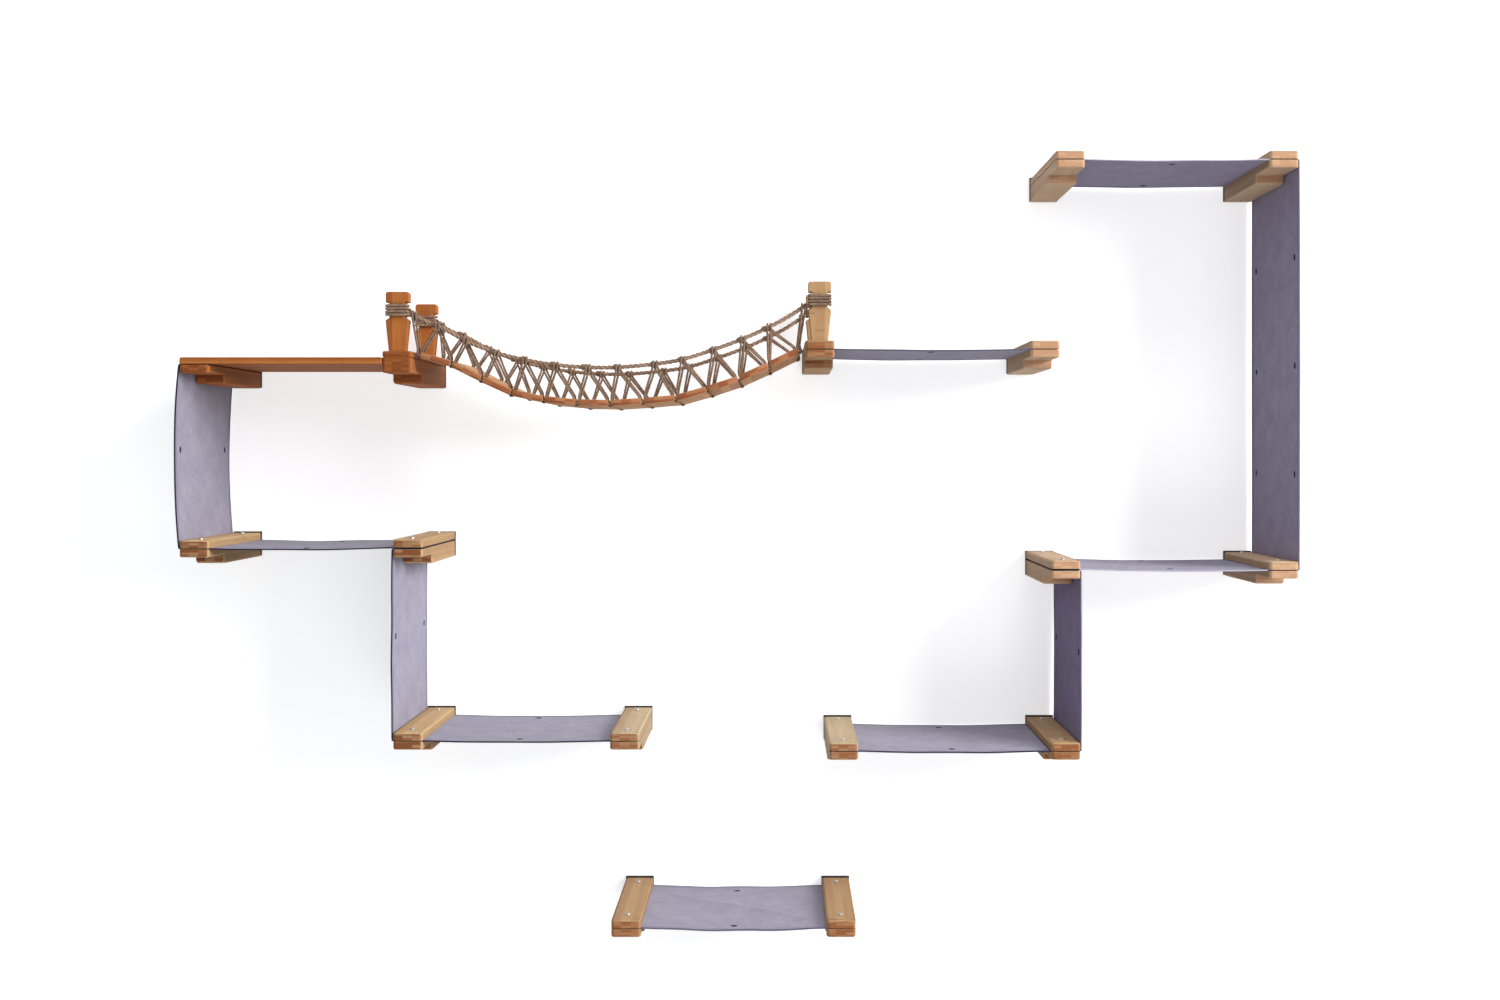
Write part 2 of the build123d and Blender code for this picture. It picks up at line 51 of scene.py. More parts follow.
# Boards: how far their edges are rounded, and the bamboo strips that they are glued from
board_rounding = 0.0032
seam_share = 0.15
rim_reach = 0.008
post_rounding = 0.0022
slat_rounding = 0.0016
rounding_steps = 3
same_place = 0.00001
corner_angle = math.radians(30)
smooth_angle = math.radians(40)
strip_width = 0.0185
layer_height = 0.0053
glue_share = 0.015
knuckle_apart = 0.23
knuckle_share = 0.011

# Slats: the lip at each end, and the pockets in which the lacings go round the cross ropes
slat_lip = 0.0034
pocket_long = 0.011
pocket_deep = 0.0052

# Canvas: its sheet, its hems, its turned edges and how far it hangs
canvas_thick = 0.0018
canvas_front = -0.276
canvas_back = -0.006
canvas_lead = 0.008
thread_pitch = 0.0012
drop_turn = 0.003
plank_drop_bow = 0.008
drop_bow = 0.001
hammock_sag = 0.004
hammock_fold = 0.006
shelf_sag = 0.0025
shelf_pulls = 0.0009
drop_pulls = 0.0007
held_clear = 0.0001
flap_reach = 0.03
flap_high = 0.0025
held_high = 0.004
cloth_step = 0.0045
edge_width = 0.0024
edge_thick = 0.0025
edge_proud = 0.0004
edge_ease = 0.0002
edge_map_place = -0.14
edge_map_step = 0.002
fold_width = 0.0105
fold_blur = 0.0003
fold_inset = 0.0012
stitched_from = 0.028
hem_stitch = {"Step": 0.0046, "Length": 0.0031, "Thread": 0.0006}

# Slots in the canvas, and the stitches across their edges
slot_length = 0.0075
slot_width = 0.0018
slot_edge_gap = 0.026
slot_rim = 0.0005
slot_rounding = 0.6
slot_stitch = {"Step": 0.001, "Length": 0.0042, "Thread": 0.0026, "Turn": math.pi / 2}

# Ropes: their sizes, and how the lacings go over the hand ropes and round the cross ropes
hand_rope = 0.009
lacing_strand = 0.0047
cross_rope = 0.0045
hump_out = 0.0052
hump_low = 0.004
tail_drop = 0.014
pair_spread = 0.0031
pair_close = 0.0015
turn_radius = 0.0044
turn_in = 0.0105
turn_lift = 0.003
turn_rise = 0.0105
long_run = 0.03
run_lead = 0.012
hitch_cord = 0.0024
hitch_radius = 0.0051
hitch_turns = 2.8
hitch_shift = -0.0072
yarn_share = 0.56
yarn_lay_share = 0.4

# How far a strand runs along its rope in one turn, and how finely each rope's line is divided
hand_lay = 0.03
lacing_lay = 0.03
cross_lay = 0.05
winding_lay = 0.02
hitch_lay = 0.02
rope_step = 0.002
lacing_step = 0.0018
winding_step = 0.0015
hitch_step = 0.0012

# The hand ropes' route, across and up from the left arm's seam
hand_rope_route = (
    (0.0255, 0.0980), (0.0489, 0.0827), (0.0820, 0.0721), (0.1274, 0.0451), (0.1816, 0.0239),
    (0.2357, 0.0103), (0.2962, -0.0001), (0.3593, -0.0047), (0.4138, -0.0047), (0.4854, 0.0018),
    (0.5376, 0.0099), (0.5928, 0.0279), (0.6514, 0.0490), (0.7004, 0.0717), (0.7393, 0.0915),
    (0.7717, 0.1144),
)

# Where the lacings go over the hand ropes, across and up to the hand rope's middle
lacing_tops = (
    (0.0310, 0.0944), (0.0750, 0.0743), (0.1280, 0.0460), (0.1865, 0.0230), (0.2395, 0.0100),
    (0.2980, 0.0), (0.3586, -0.0043), (0.4153, -0.0042), (0.4853, 0.0022), (0.5382, 0.0108),
    (0.5968, 0.0296), (0.6516, 0.0497), (0.7008, 0.0726), (0.7660, 0.1102),
)

# Rope windings round the posts' necks
winding_corner = 0.007
winding_cord = 0.0057
winding_turns = 4
winding_reach = (0.0199, 0.0139)
winding_slack = 0.0006
neck_drop = 0.035

# Screws: the outline of each head from its foot up, as radius and height, and its recess
head_profile = ((0.0045, 0.0), (0.0045, 0.0011), (0.0042, 0.0019), (0.0034, 0.0026), (0.0026, 0.0029))
head_recess = (0.0038, 0.0026)
head_height = 0.003
lock_profile = ((0.003, -0.010), (0.003, -0.0005), (0.0026, 0.0))
lock_recess = (0.003, 0.0025)
lock_longer = 0.0025
recess_dip = 0.0004

# Canvas shelves and their arms
shelves = {
    "middle_shelf": ("middle_left", "middle_right"), "lower_shelf": ("lower_left", "lower_right"),
    "bridge_shelf": ("bridge_right", "shelf_right"), "tower_top_shelf": ("tower_top_left", "tower_top_right"),
    "tower_middle_shelf": ("tower_middle_left", "tower_middle_right"),
    "tower_foot_shelf": ("tower_foot_left", "tower_foot_right"), "hammock": ("hammock_left", "hammock_right"),
}

# Canvas drops, their arms, the side on which they hang, their pairs of slots and their bow
drops = {
    "plank_drop": ("plank_left", "middle_left", -1, 1, plank_drop_bow),
    "middle_drop": ("middle_right", "lower_left", -1, 1, drop_bow),
    "tower_tall_drop": ("tower_top_right", "tower_middle_right", 1, 3, drop_bow),
    "tower_short_drop": ("tower_middle_left", "tower_foot_right", 1, 1, drop_bow),
}


# Helpers for node trees

FLOAT, COLOUR, GEOMETRY, INTEGER = "NodeSocketFloat", "NodeSocketColor", "NodeSocketGeometry", "NodeSocketInt"
MATERIAL = "NodeSocketMaterial"


def add(tree, kind, inputs=None, **settings):
    """Adds a node, sets it, and links or fills its inputs by name or number."""
    made = tree.nodes.new(kind)
    for name, value in settings.items():
        setattr(made, name, value)
    for key, value in (inputs or {}).items():
        if isinstance(value, bpy.types.NodeSocket):
            tree.links.new(value, made.inputs[key])
        else:
            made.inputs[key].default_value = value
    return made


def first(tree, kind, inputs=None, **settings):
    """Adds a node and gives its first output."""
    return add(tree, kind, inputs, **settings).outputs[0]


def calc(tree, operation, *values, clamp=False):
    """One step of arithmetic."""
    return first(tree, "ShaderNodeMath", dict(enumerate(values)), operation=operation, use_clamp=clamp)


def vector(tree, operation, *values, **named):
    """One step of arithmetic on vectors."""
    return first(tree, "ShaderNodeVectorMath", dict(enumerate(values)) | named, operation=operation)


def mixed(tree, share, one, other, blend="MIX"):
    """Two colours mixed by a share."""
    made = add(tree, "ShaderNodeMix", {0: share, 6: one, 7: other}, data_type="RGBA", blend_type=blend)
    return made.outputs[2]


def noise(tree, place, scale, detail=3.0, roughness=0.55):
    """The value of a noise texture at a place, its scale one number or three."""
    if isinstance(scale, tuple):
        place, scale = vector(tree, "MULTIPLY", place, scale), 1.0
    inputs = {"Vector": place, "Scale": scale, "Detail": detail, "Roughness": roughness}
    return first(tree, "ShaderNodeTexNoise", inputs)


def spread(tree, value, low, high, new_low, new_high):
    """A value moved from one range to another and held inside it."""
    return first(tree, "ShaderNodeMapRange", {0: value, 1: low, 2: high, 3: new_low, 4: new_high})


def varied(tree, tone, change, amount, clamp=False):
    """A tone moved up or down by a value that lies about one half."""
    return calc(tree, "MULTIPLY_ADD", calc(tree, "SUBTRACT", change, 0.5), amount, tone, clamp=clamp)


def off_middle(tree, value):
    """How far a value lies from the middle of its whole step."""
    return calc(tree, "ABSOLUTE", calc(tree, "SUBTRACT", calc(tree, "FRACT", value), 0.5))


def new_group(name, kind, inputs, outputs):
    """A node group with named inputs and outputs: each a kind of socket, or a number to start with."""
    group = bpy.data.node_groups.new(name, kind)
    for label, value in inputs.items():
        socket = {float: FLOAT, int: INTEGER}.get(type(value), value)
        made = group.interface.new_socket(label, in_out="INPUT", socket_type=socket)
        if socket != value:
            made.default_value = value
    for label, socket in outputs.items():
        group.interface.new_socket(label, in_out="OUTPUT", socket_type=socket)
    return group, group.nodes.new("NodeGroupInput").outputs, group.nodes.new("NodeGroupOutput")


# Shader groups that several finishes share

def bamboo_group():
    """Strips and layers of bamboo glued side by side, with fibres, knuckles, glue lines and dark ends."""
    group, given, out = new_group("bamboo_grain", "ShaderNodeTree", {
        "Light Strip": COLOUR, "Dark Strip": COLOUR, "End Grain": COLOUR},
        {"Colour": COLOUR, "Roughness": FLOAT, "Height": FLOAT})
    do, mix = partial(calc, group), partial(mixed, group)
    knuckle_brown, glue_brown = (0.16, 0.075, 0.03, 1), (0.2, 0.1, 0.045, 1)
    at = add(group, "ShaderNodeAttribute", attribute_name="grain_at").outputs["Vector"]
    is_end = add(group, "ShaderNodeAttribute", attribute_name="end_grain").outputs["Fac"]
    along, across, up = add(group, "ShaderNodeSeparateXYZ", {0: at}).outputs
    strips = do("ADD", do("DIVIDE", across, strip_width), 0.5)
    layers = do("DIVIDE", up, layer_height)
    cell = first(group, "ShaderNodeCombineXYZ", {0: do("FLOOR", strips), 1: do("FLOOR", layers), 2: 0.37})
    strip = first(group, "ShaderNodeTexWhiteNoise", {"Vector": cell}, noise_dimensions="3D")
    fibre = noise(group, at, (9.0, 420.0, 420.0), 4.0)
    streak = noise(group, at, (2.2, 85.0, 85.0))
    cloud = noise(group, at, 14.0, 2.0)
    glue = spread(group, off_middle(group, strips), 0.5 - glue_share, 0.5, 0.0, 1.0)
    knuckles = do("ADD", do("DIVIDE", along, knuckle_apart), strip)
    knuckle = spread(group, off_middle(group, knuckles), 0.0, knuckle_share, 1.0, 0.0)
    tone = do("MULTIPLY_ADD", strip, 0.55, do("MULTIPLY", streak, 0.5))
    tone = varied(group, varied(group, tone, fibre, 0.75), cloud, 0.5, clamp=True)
    face = mix(tone, given["Light Strip"], given["Dark Strip"])
    face = mix(do("MULTIPLY", knuckle, 0.45), face, knuckle_brown)
    face = mix(do("MULTIPLY", glue, 0.35), face, glue_brown)
    in_pores = vector(group, "MULTIPLY", at, (30.0, 900.0, 900.0))
    pores = add(group, "ShaderNodeTexVoronoi", {"Vector": in_pores, "Scale": 1.0}).outputs["Distance"]
    end = mix(spread(group, strip, 0.35, 0.95, 0.0, 0.32), given["End Grain"], given["Light Strip"])
    end = mix(1.0, end, spread(group, pores, 0.0, 0.45, 0.72, 1.08), "MULTIPLY")
    group.links.new(mix(is_end, face, end), out.inputs["Colour"])
    group.links.new(do("MULTIPLY_ADD", fibre, 0.2, 0.62), out.inputs["Roughness"])
    height = do("SUBTRACT", fibre, do("ADD", glue, do("MULTIPLY", knuckle, 0.6)))
    group.links.new(height, out.inputs["Height"])
    return group


def weave_group():
    """Plain woven cloth: crossing threads with slubs, soft blotches, and hems where it lies double, darkened with
    painted fold shade.
    """
    group, given, out = new_group("woven_cloth", "ShaderNodeTree", {
        "Light Thread": COLOUR, "Dark Thread": COLOUR}, {"Colour": COLOUR, "Height": FLOAT})
    do, mix = partial(calc, group), partial(mixed, group)
    # painted shade: a dark blue-grey that stands in for the shade along each hem's fold
    painted_fold_shade = (0.05, 0.05, 0.10, 1)
    at = first(group, "ShaderNodeUVMap", uv_map="cloth_at")
    along, across = list(add(group, "ShaderNodeSeparateXYZ", {0: at}).outputs)[:2]
    warp = do("SINE", do("MULTIPLY", along, 2 * math.pi / thread_pitch))
    weft = do("SINE", do("MULTIPLY", across, 2 * math.pi / thread_pitch))
    crossing = do("MULTIPLY_ADD", do("MULTIPLY", warp, weft), 0.5, 0.5)
    slubs = noise(group, at, (60.0, 1300.0, 1.0), 2.0)
    slubs_across = noise(group, at, (1300.0, 60.0, 1.0), 2.0)
    blotch = noise(group, at, 22.0)
    tone = 0.5
    for change, amount in ((slubs, 1.5), (slubs_across, 1.5), (blotch, 0.9)):
        tone = varied(group, tone, change, amount)
    tone = varied(group, tone, crossing, 0.3, clamp=True)
    from_edge = do("MINIMUM", do("SUBTRACT", across, canvas_front), do("SUBTRACT", canvas_back, across))
    hem = spread(group, do("SUBTRACT", from_edge, fold_width), -fold_blur, fold_blur, 1.0, 0.0)
    face = mix(tone, given["Light Thread"], given["Dark Thread"])
    # The hem band is darkened as painted fold shade: first towards the dark thread, then towards the painted fold
    # shade colour.
    face = mix(do("MULTIPLY", hem, 0.16), face, given["Dark Thread"])
    group.links.new(mix(do("MULTIPLY", hem, 0.10), face, painted_fold_shade), out.inputs["Colour"])
    height = do("MULTIPLY_ADD", do("ADD", slubs, slubs_across), 0.5, crossing)
    group.links.new(do("MULTIPLY_ADD", hem, 1.6, height), out.inputs["Height"])
    return group


def fibre_group():
    """Dry plant fibre: fine hairs along a yarn, with paler and darker stretches."""
    group, given, out = new_group("plant_fibre", "ShaderNodeTree", {
        "Pale Fibre": COLOUR, "Dark Fibre": COLOUR}, {"Colour": COLOUR, "Height": FLOAT})
    at = add(group, "ShaderNodeTexCoord").outputs["Object"]
    hairs = noise(group, at, 1500.0, 4.0, 0.7)
    stretch = noise(group, at, 130.0)
    patch = noise(group, at, 26.0, 2.0)
    tone = varied(group, varied(group, stretch, hairs, 1.1), patch, 0.8, clamp=True)
    group.links.new(mixed(group, tone, given["Pale Fibre"], given["Dark Fibre"]), out.inputs["Colour"])
    group.links.new(hairs, out.inputs["Height"])
    return group


def wear_group():
    """Handled metal: fine scratches and faint stains that change how it shines."""
    group, given, out = new_group("handled_metal", "ShaderNodeTree", {
        "Metal": COLOUR, "Stain": COLOUR, "Smooth": 0.25, "Rough": 0.5},
        {"Colour": COLOUR, "Roughness": FLOAT, "Height": FLOAT})
    do = partial(calc, group)
    at = add(group, "ShaderNodeTexCoord").outputs["Object"]
    stains = spread(group, noise(group, at, 240.0, 4.0), 0.45, 0.75, 0.0, 1.0)
    scratches = noise(group, at, (5200.0, 300.0, 700.0), 2.0)
    colour = mixed(group, do("MULTIPLY", stains, 0.6), given["Metal"], given["Stain"])
    share = do("MULTIPLY_ADD", scratches, 0.5, do("MULTIPLY", stains, 0.5), clamp=True)
    rough = do("MULTIPLY_ADD", share, do("SUBTRACT", given["Rough"], given["Smooth"]), given["Smooth"])
    group.links.new(colour, out.inputs["Colour"])
    group.links.new(rough, out.inputs["Roughness"])
    group.links.new(scratches, out.inputs["Height"])
    return group


def rgb(red, green, blue):
    """A colour written in ordinary 0 to 255 values, as the shader wants it."""
    linear = [(c / 255 / 12.92 if c <= 10 else ((c / 255 + 0.055) / 1.055) ** 2.4) for c in (red, green, blue)]
    return (*linear, 1.0)


def finish(name, group, values, relief, roughness=None, metallic=0.0, sheen=0.0, specular=0.5):
    """A material made from a shared group, with its own colours, as 0 to 255 values, and numbers."""
    material = bpy.data.materials.new(name)
    material.use_nodes = True
    tree = material.node_tree
    shader = tree.nodes["Principled BSDF"]
    surface = add(tree, "ShaderNodeGroup", node_tree=group)
    for label, value in values.items():
        surface.inputs[label].default_value = rgb(*value) if isinstance(value, tuple) else value
    tree.links.new(surface.outputs["Colour"], shader.inputs["Base Color"])
    if "Roughness" in surface.outputs:
        tree.links.new(surface.outputs["Roughness"], shader.inputs["Roughness"])
    else:
        shader.inputs["Roughness"].default_value = roughness
    shader.inputs["Metallic"].default_value = metallic
    shader.inputs["Sheen Weight"].default_value = sheen
    shader.inputs["Specular IOR Level"].default_value = specular
    bump = {"Strength": 1.0, "Distance": relief, "Height": surface.outputs["Height"]}
    tree.links.new(first(tree, "ShaderNodeBump", bump), shader.inputs["Normal"])
    return material


def bamboo_finish(name, light, dark, end):
    """Bamboo with strips between two tones, and darker at its ends."""
    tones = {"Light Strip": light, "Dark Strip": dark, "End Grain": end}
    return finish(name, bamboo, tones, 0.00012, specular=0.2)


def cloth_finish(name, light, dark, relief=0.00022, roughness=0.88, sheen=0.08):
    """Woven cloth with threads between two tones."""
    tones = {"Light Thread": light, "Dark Thread": dark}
    return finish(name, weave, tones, relief, roughness, sheen=sheen, specular=0.2)


def fibre_finish(name, pale, dark, relief, roughness=0.95, specular=0.2):
    """Rope or thread with fibres between two tones."""
    tones = {"Pale Fibre": pale, "Dark Fibre": dark}
    return finish(name, fibre, tones, relief, roughness, specular=specular)


bamboo = bamboo_group()
weave = weave_group()
fibre = fibre_group()
metal = wear_group()

# Bamboo tones given part by part: partly the wood's own tone, partly painted light. The darker, more orange
# caramel on the upper-left parts, seen from below, holds painted shade.
caramel_bamboo = bamboo_finish("caramel_bamboo", (184, 112, 54), (138, 74, 30), (122, 64, 28))
honey_bamboo = bamboo_finish("honey_bamboo", (206, 177, 133), (172, 135, 93), (122, 72, 41))
pale_bamboo = bamboo_finish("pale_bamboo", (192, 172, 138), (165, 137, 103), (138, 86, 52))
tan_bamboo = bamboo_finish("tan_bamboo", (188, 154, 112), (158, 118, 79), (134, 82, 48))
# painted reflection: paler, greyer tones for the tower arms and shelf_right, standing in for white light
# reflected off their tops
blond_bamboo = bamboo_finish("blond_bamboo", (206, 178, 146), (182, 146, 112), (176, 134, 102))
deck_bamboo = bamboo_finish("deck_bamboo", (202, 154, 108), (160, 108, 68), (140, 80, 48))
canvas_cloth = cloth_finish("canvas_cloth", (169, 165, 181), (135, 131, 150))
# painted shade: bluer copies of the canvas cloth for the tower canvases, standing in for the blue tint of their
# shaded faces; the short drop's copy is darker too, for the deeper shade it hangs in
tower_cloth = cloth_finish("tower_cloth", (168, 160, 184), (135, 126, 153))
shaded_cloth = cloth_finish("shaded_cloth", (140, 128, 161), (109, 98, 131))
dark_edge = cloth_finish("dark_edge", (54, 50, 74), (32, 29, 50), 0.00018, 0.9, 0.05)
grey_edge = cloth_finish("grey_edge", (112, 106, 126), (82, 76, 98), 0.00018, 0.9, 0.05)
# painted highlight: a pale copy of the edge cloth, standing in for the lit outer face of the tower canvases'
# edges
light_edge = cloth_finish("light_edge", (190, 184, 200), (158, 152, 170), 0.00018, 0.9, 0.1)
rope_fibre = fibre_finish("rope_fibre", (190, 160, 136), (104, 80, 64), 0.0003)
cord_fibre = fibre_finish("cord_fibre", (162, 134, 113), (82, 61, 48), 0.0002)
thread_fibre = fibre_finish("thread_fibre", (120, 113, 136), (88, 80, 106), 0.00005, 0.8, 0.5)
black_steel = finish("black_steel", metal, {
    "Metal": (52, 51, 54), "Stain": (70, 67, 66), "Smooth": 0.42, "Rough": 0.62}, 0.00002, metallic=0.4)
bright_steel = finish("bright_steel", metal, {
    "Metal": (204, 202, 196), "Stain": (144, 140, 134), "Smooth": 0.24, "Rough": 0.44}, 0.00001, metallic=1.0)


# Helpers for meshes

def link(name, data):
    """A new object in the scene."""
    made = bpy.data.objects.new(name, data)
    bpy.context.scene.collection.objects.link(made)
    return made


def new_piece(name, mesh, material, body, stands_for=()):
    """Puts a finished mesh into the scene as a piece that rides on a body."""
    piece = link(name, mesh)
    mesh.materials.clear()
    mesh.materials.append(material)
    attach(piece, body)
    if stands_for:
        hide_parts(*stands_for)
    return piece


def evaluated(holder):
    """The plain mesh that an object's modifiers or curve make. The object itself goes."""
    ready = bpy.context.evaluated_depsgraph_get()
    mesh = bpy.data.meshes.new_from_object(holder.evaluated_get(ready))
    bpy.data.objects.remove(holder)
    return mesh


def applied(mesh, kind, **settings):
    """A mesh with one modifier applied."""
    holder = link("work", mesh)
    made = holder.modifiers.new(kind, kind)
    for name, value in settings.items():
        setattr(made, name, value)
    return evaluated(holder)


def grown(mesh, group, values):
    """The mesh that a geometry node group makes from a mesh, with its inputs set by name."""
    holder = link("work", mesh)
    made = holder.modifiers.new("grown", "NODES")
    made.node_group = group
    for item in group.interface.items_tree:
        if item.item_type == "SOCKET" and item.in_out == "INPUT" and item.name in values:
            made[item.identifier] = values[item.name]
    return evaluated(holder)


def places(mesh):
    """A mesh's points as rows of three numbers."""
    found = np.zeros(len(mesh.vertices) * 3)
    mesh.vertices.foreach_get("co", found)
    return found.reshape(-1, 3)


def points_mesh(name, points, edges=()):
    """A mesh of points and the edges between them."""
    mesh = bpy.data.meshes.new(name)
    mesh.from_pydata([tuple(point) for point in points], edges, [])
    return mesh


def store(mesh, name, values, domain="POINT"):
    """Keeps a number or a vector for each point, edge or face of a mesh."""
    values = np.array(values, np.float32)
    kind, field = ("FLOAT_VECTOR", "vector") if values.ndim == 2 else ("FLOAT", "value")
    mesh.attributes.new(name, kind, domain).data.foreach_set(field, values.ravel())


def joined(name):
    """A CAD node's faces with their points joined, ready for work."""
    work = bmesh.new()
    work.from_mesh(nodes[name].data)
    bmesh.ops.remove_doubles(work, verts=work.verts, dist=same_place)
    return work


def finished(work, name):
    """The mesh that work on it ends in."""
    mesh = bpy.data.meshes.new(name)
    work.to_mesh(mesh)
    work.free()
    return mesh


def islands(name):
    """The points of each separate solid in a CAD node, from left to right."""
    work = joined(name)
    left = set(work.verts)
    found = []
    while left:
        reached = [left.pop()]
        for point in reached:
            for edge in point.link_edges:
                other = edge.other_vert(point)
                if other in left:
                    left.discard(other)
                    reached.append(other)
        found.append(np.array([point.co[:] for point in reached]))
    work.free()
    return sorted(found, key=lambda rows: tuple(rows.mean(0)))


def box_middle(points):
    """The middle of the box round some points."""
    return (points.min(0) + points.max(0)) / 2


# Boards

def set_grain(mesh, along, middle, foot):
    """Stores where each point lies in its board: along the grain, across its strips and up its layers."""
    order = {"X": (0, 1, 2), "Y": (1, 0, 2), "Z": (2, 0, 1)}[along]
    at = (places(mesh) - np.array(middle))[:, order]
    at[:, 2] -= foot
    strips, layers = random.integers(1, 40, 2)
    at += np.array([random.uniform(0, 3), strips * strip_width, layers * layer_height])
    store(mesh, "grain_at", at)
    normals = np.zeros(len(mesh.polygons) * 3)
    mesh.polygons.foreach_get("normal", normals)
    store(mesh, "end_grain", np.abs(normals.reshape(-1, 3)[:, order[0]]) > 0.8, "FACE")


def mark_rims(mesh, low, high, whole_height, seam_at):
    """Marks a board's outer edges for rounding, less at its seam. Its holes and slots stay sharp."""
    def outer(point):
        x, y, z = point.co
        at_face = min(z - low.z, high.z - z) < canvas_thick
        by_side = min(x - low.x, high.x - x) < rim_reach and (at_face or not whole_height)
        return by_side or y - low.y < rim_reach or (high.y - y < rim_reach and at_face)

    work = bmesh.new()
    work.from_mesh(mesh)
    marks = []
    for edge in work.edges:
        sharp = len(edge.link_faces) == 2 and edge.is_convex and edge.calc_face_angle() > corner_angle
        by_seam = all(abs(point.co.z - seam_at) < canvas_thick for point in edge.verts)
        rounded = sharp and all(outer(point) for point in edge.verts)
        marks.append((seam_share if by_seam else 1.0) if rounded else 0.0)
    work.free()
    store(mesh, "bevel_weight_edge", marks, "EDGE")


def board(name, along, material):
    """A finer board over a CAD one, with rounded edges and its grain."""
    low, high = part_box(name)
    work = joined(name)
    bmesh.ops.dissolve_limit(work, angle_limit=math.radians(1), verts=work.verts, edges=work.edges)
    mesh = finished(work, name)
    shape = dict(segments=rounding_steps, miter_outer="MITER_ARC", harden_normals=False)
    if name.endswith(("_arm", "_batten")) or name == "plank":
        mark_rims(mesh, low, high, name == "plank", high.z if name.endswith("_arm") else low.z)
        shape |= dict(width=board_rounding, limit_method="WEIGHT", use_clamp_overlap=False)
    else:
        shape |= dict(width=post_rounding, limit_method="ANGLE", angle_limit=corner_angle)
    mesh = applied(mesh, "BEVEL", **shape)
    mesh.shade_smooth()
    mesh.set_sharp_from_angle(angle=smooth_angle)
    mesh = applied(mesh, "WEIGHTED_NORMAL", weight=100, keep_sharp=True)
    middle = (low + high) / 2
    set_grain(mesh, along, middle, low.y - middle.y if along == "Z" else low.z - middle.z)
    return new_piece(f"{name}_wood", mesh, material, ROOT, [name])


# Each group of arms gets its own bamboo tone: partly the wood's own tone, partly painted light, as the finishes
# above say.
arms_of = {
    caramel_bamboo: ("plank_left", "bridge_left"), honey_bamboo: ("middle_left", "middle_right", "lower_left"),
    pale_bamboo: ("lower_right", "tower_foot_left"),
    tan_bamboo: ("bridge_right", "hammock_left", "hammock_right", "tower_foot_right"),
    blond_bamboo: ("tower_top_left", "tower_top_right", "tower_middle_left", "tower_middle_right",
                   "shelf_right"),
}
for wood, arms in arms_of.items():
    for arm in arms:
        board(f"{arm}_arm", "Y", wood)
        if f"{arm}_batten" in nodes:
            board(f"{arm}_batten", "Y", wood)
board("plank", "X", caramel_bamboo)
board("post_riser", "Y", caramel_bamboo)
for post, wood in (("front_left", caramel_bamboo), ("back_left", caramel_bamboo),
                   ("front_right", tan_bamboo), ("back_right", tan_bamboo)):
    board(f"{post}_post", "Z", wood)


# Helpers for geometry trees

def stored(tree, name, kind="FLOAT_VECTOR"):
    """What a mesh keeps for each point under a name."""
    return first(tree, "GeometryNodeInputNamedAttribute", {"Name": name}, data_type=kind)


def shape_of(tree, thing):
    """An object's geometry, for use in a tree."""
    info = add(tree, "GeometryNodeObjectInfo", {"Object": thing}, transform_space="ORIGINAL")
    return info.outputs["Geometry"]


def copies_on(tree, points, shape, rotation, **more):
    """A copy of a shape on every point."""
    return first(tree, "GeometryNodeInstanceOnPoints", {
        "Points": points, "Instance": shape, "Rotation": rotation} | more)


def facing(tree, forward, up, spin):
    """A rotation that points X forward and Z up, and then spins by angles of its own."""
    towards = first(tree, "FunctionNodeAxesToRotation", {"Primary Axis": forward, "Secondary Axis": up},
                    primary_axis="X", secondary_axis="Z")
    about = first(tree, "FunctionNodeEulerToRotation", {0: spin})
    return first(tree, "FunctionNodeRotateRotation", {0: towards, 1: about}, rotation_space="LOCAL")


def end_tree(tree, out, geometry, material):
    """Ends a tree: its copies are made real and painted."""
    whole = first(tree, "GeometryNodeRealizeInstances", {0: geometry})
    painted = first(tree, "GeometryNodeSetMaterial", {"Geometry": whole, "Material": material})
    tree.links.new(painted, out.inputs[0])


# Deck slats, each on its own tilt

def slat_mesh(width, length, thick):
    """One slat with softened edges, lying flat at the origin, with pockets for the lacings' turns."""
    half, end = width / 2, length / 2
    quarter = [(half, end), (half, end - slat_lip), (half - pocket_deep, end - slat_lip),
               (half - pocket_deep, end - slat_lip - pocket_long), (half, end - slat_lip - pocket_long)]
    outline = quarter + [(x, -y) for x, y in reversed(quarter)]
    outline += [(-x, -y) for x, y in quarter] + [(-x, y) for x, y in reversed(quarter)]
    work = bmesh.new()
    face = work.faces.new([work.verts.new((x, y, -thick / 2)) for x, y in outline])
    raised = bmesh.ops.extrude_face_region(work, geom=[face])["geom"]
    points = [part for part in raised if isinstance(part, bmesh.types.BMVert)]
    bmesh.ops.translate(work, vec=(0, 0, thick), verts=points)
    bmesh.ops.recalc_face_normals(work, faces=work.faces)
    mesh = applied(finished(work, "slat"), "BEVEL", width=slat_rounding, segments=rounding_steps,
                   limit_method="ANGLE", harden_normals=True)
    mesh.shade_smooth()
    set_grain(mesh, "Y", (0, 0, 0), -thick / 2)
    return mesh


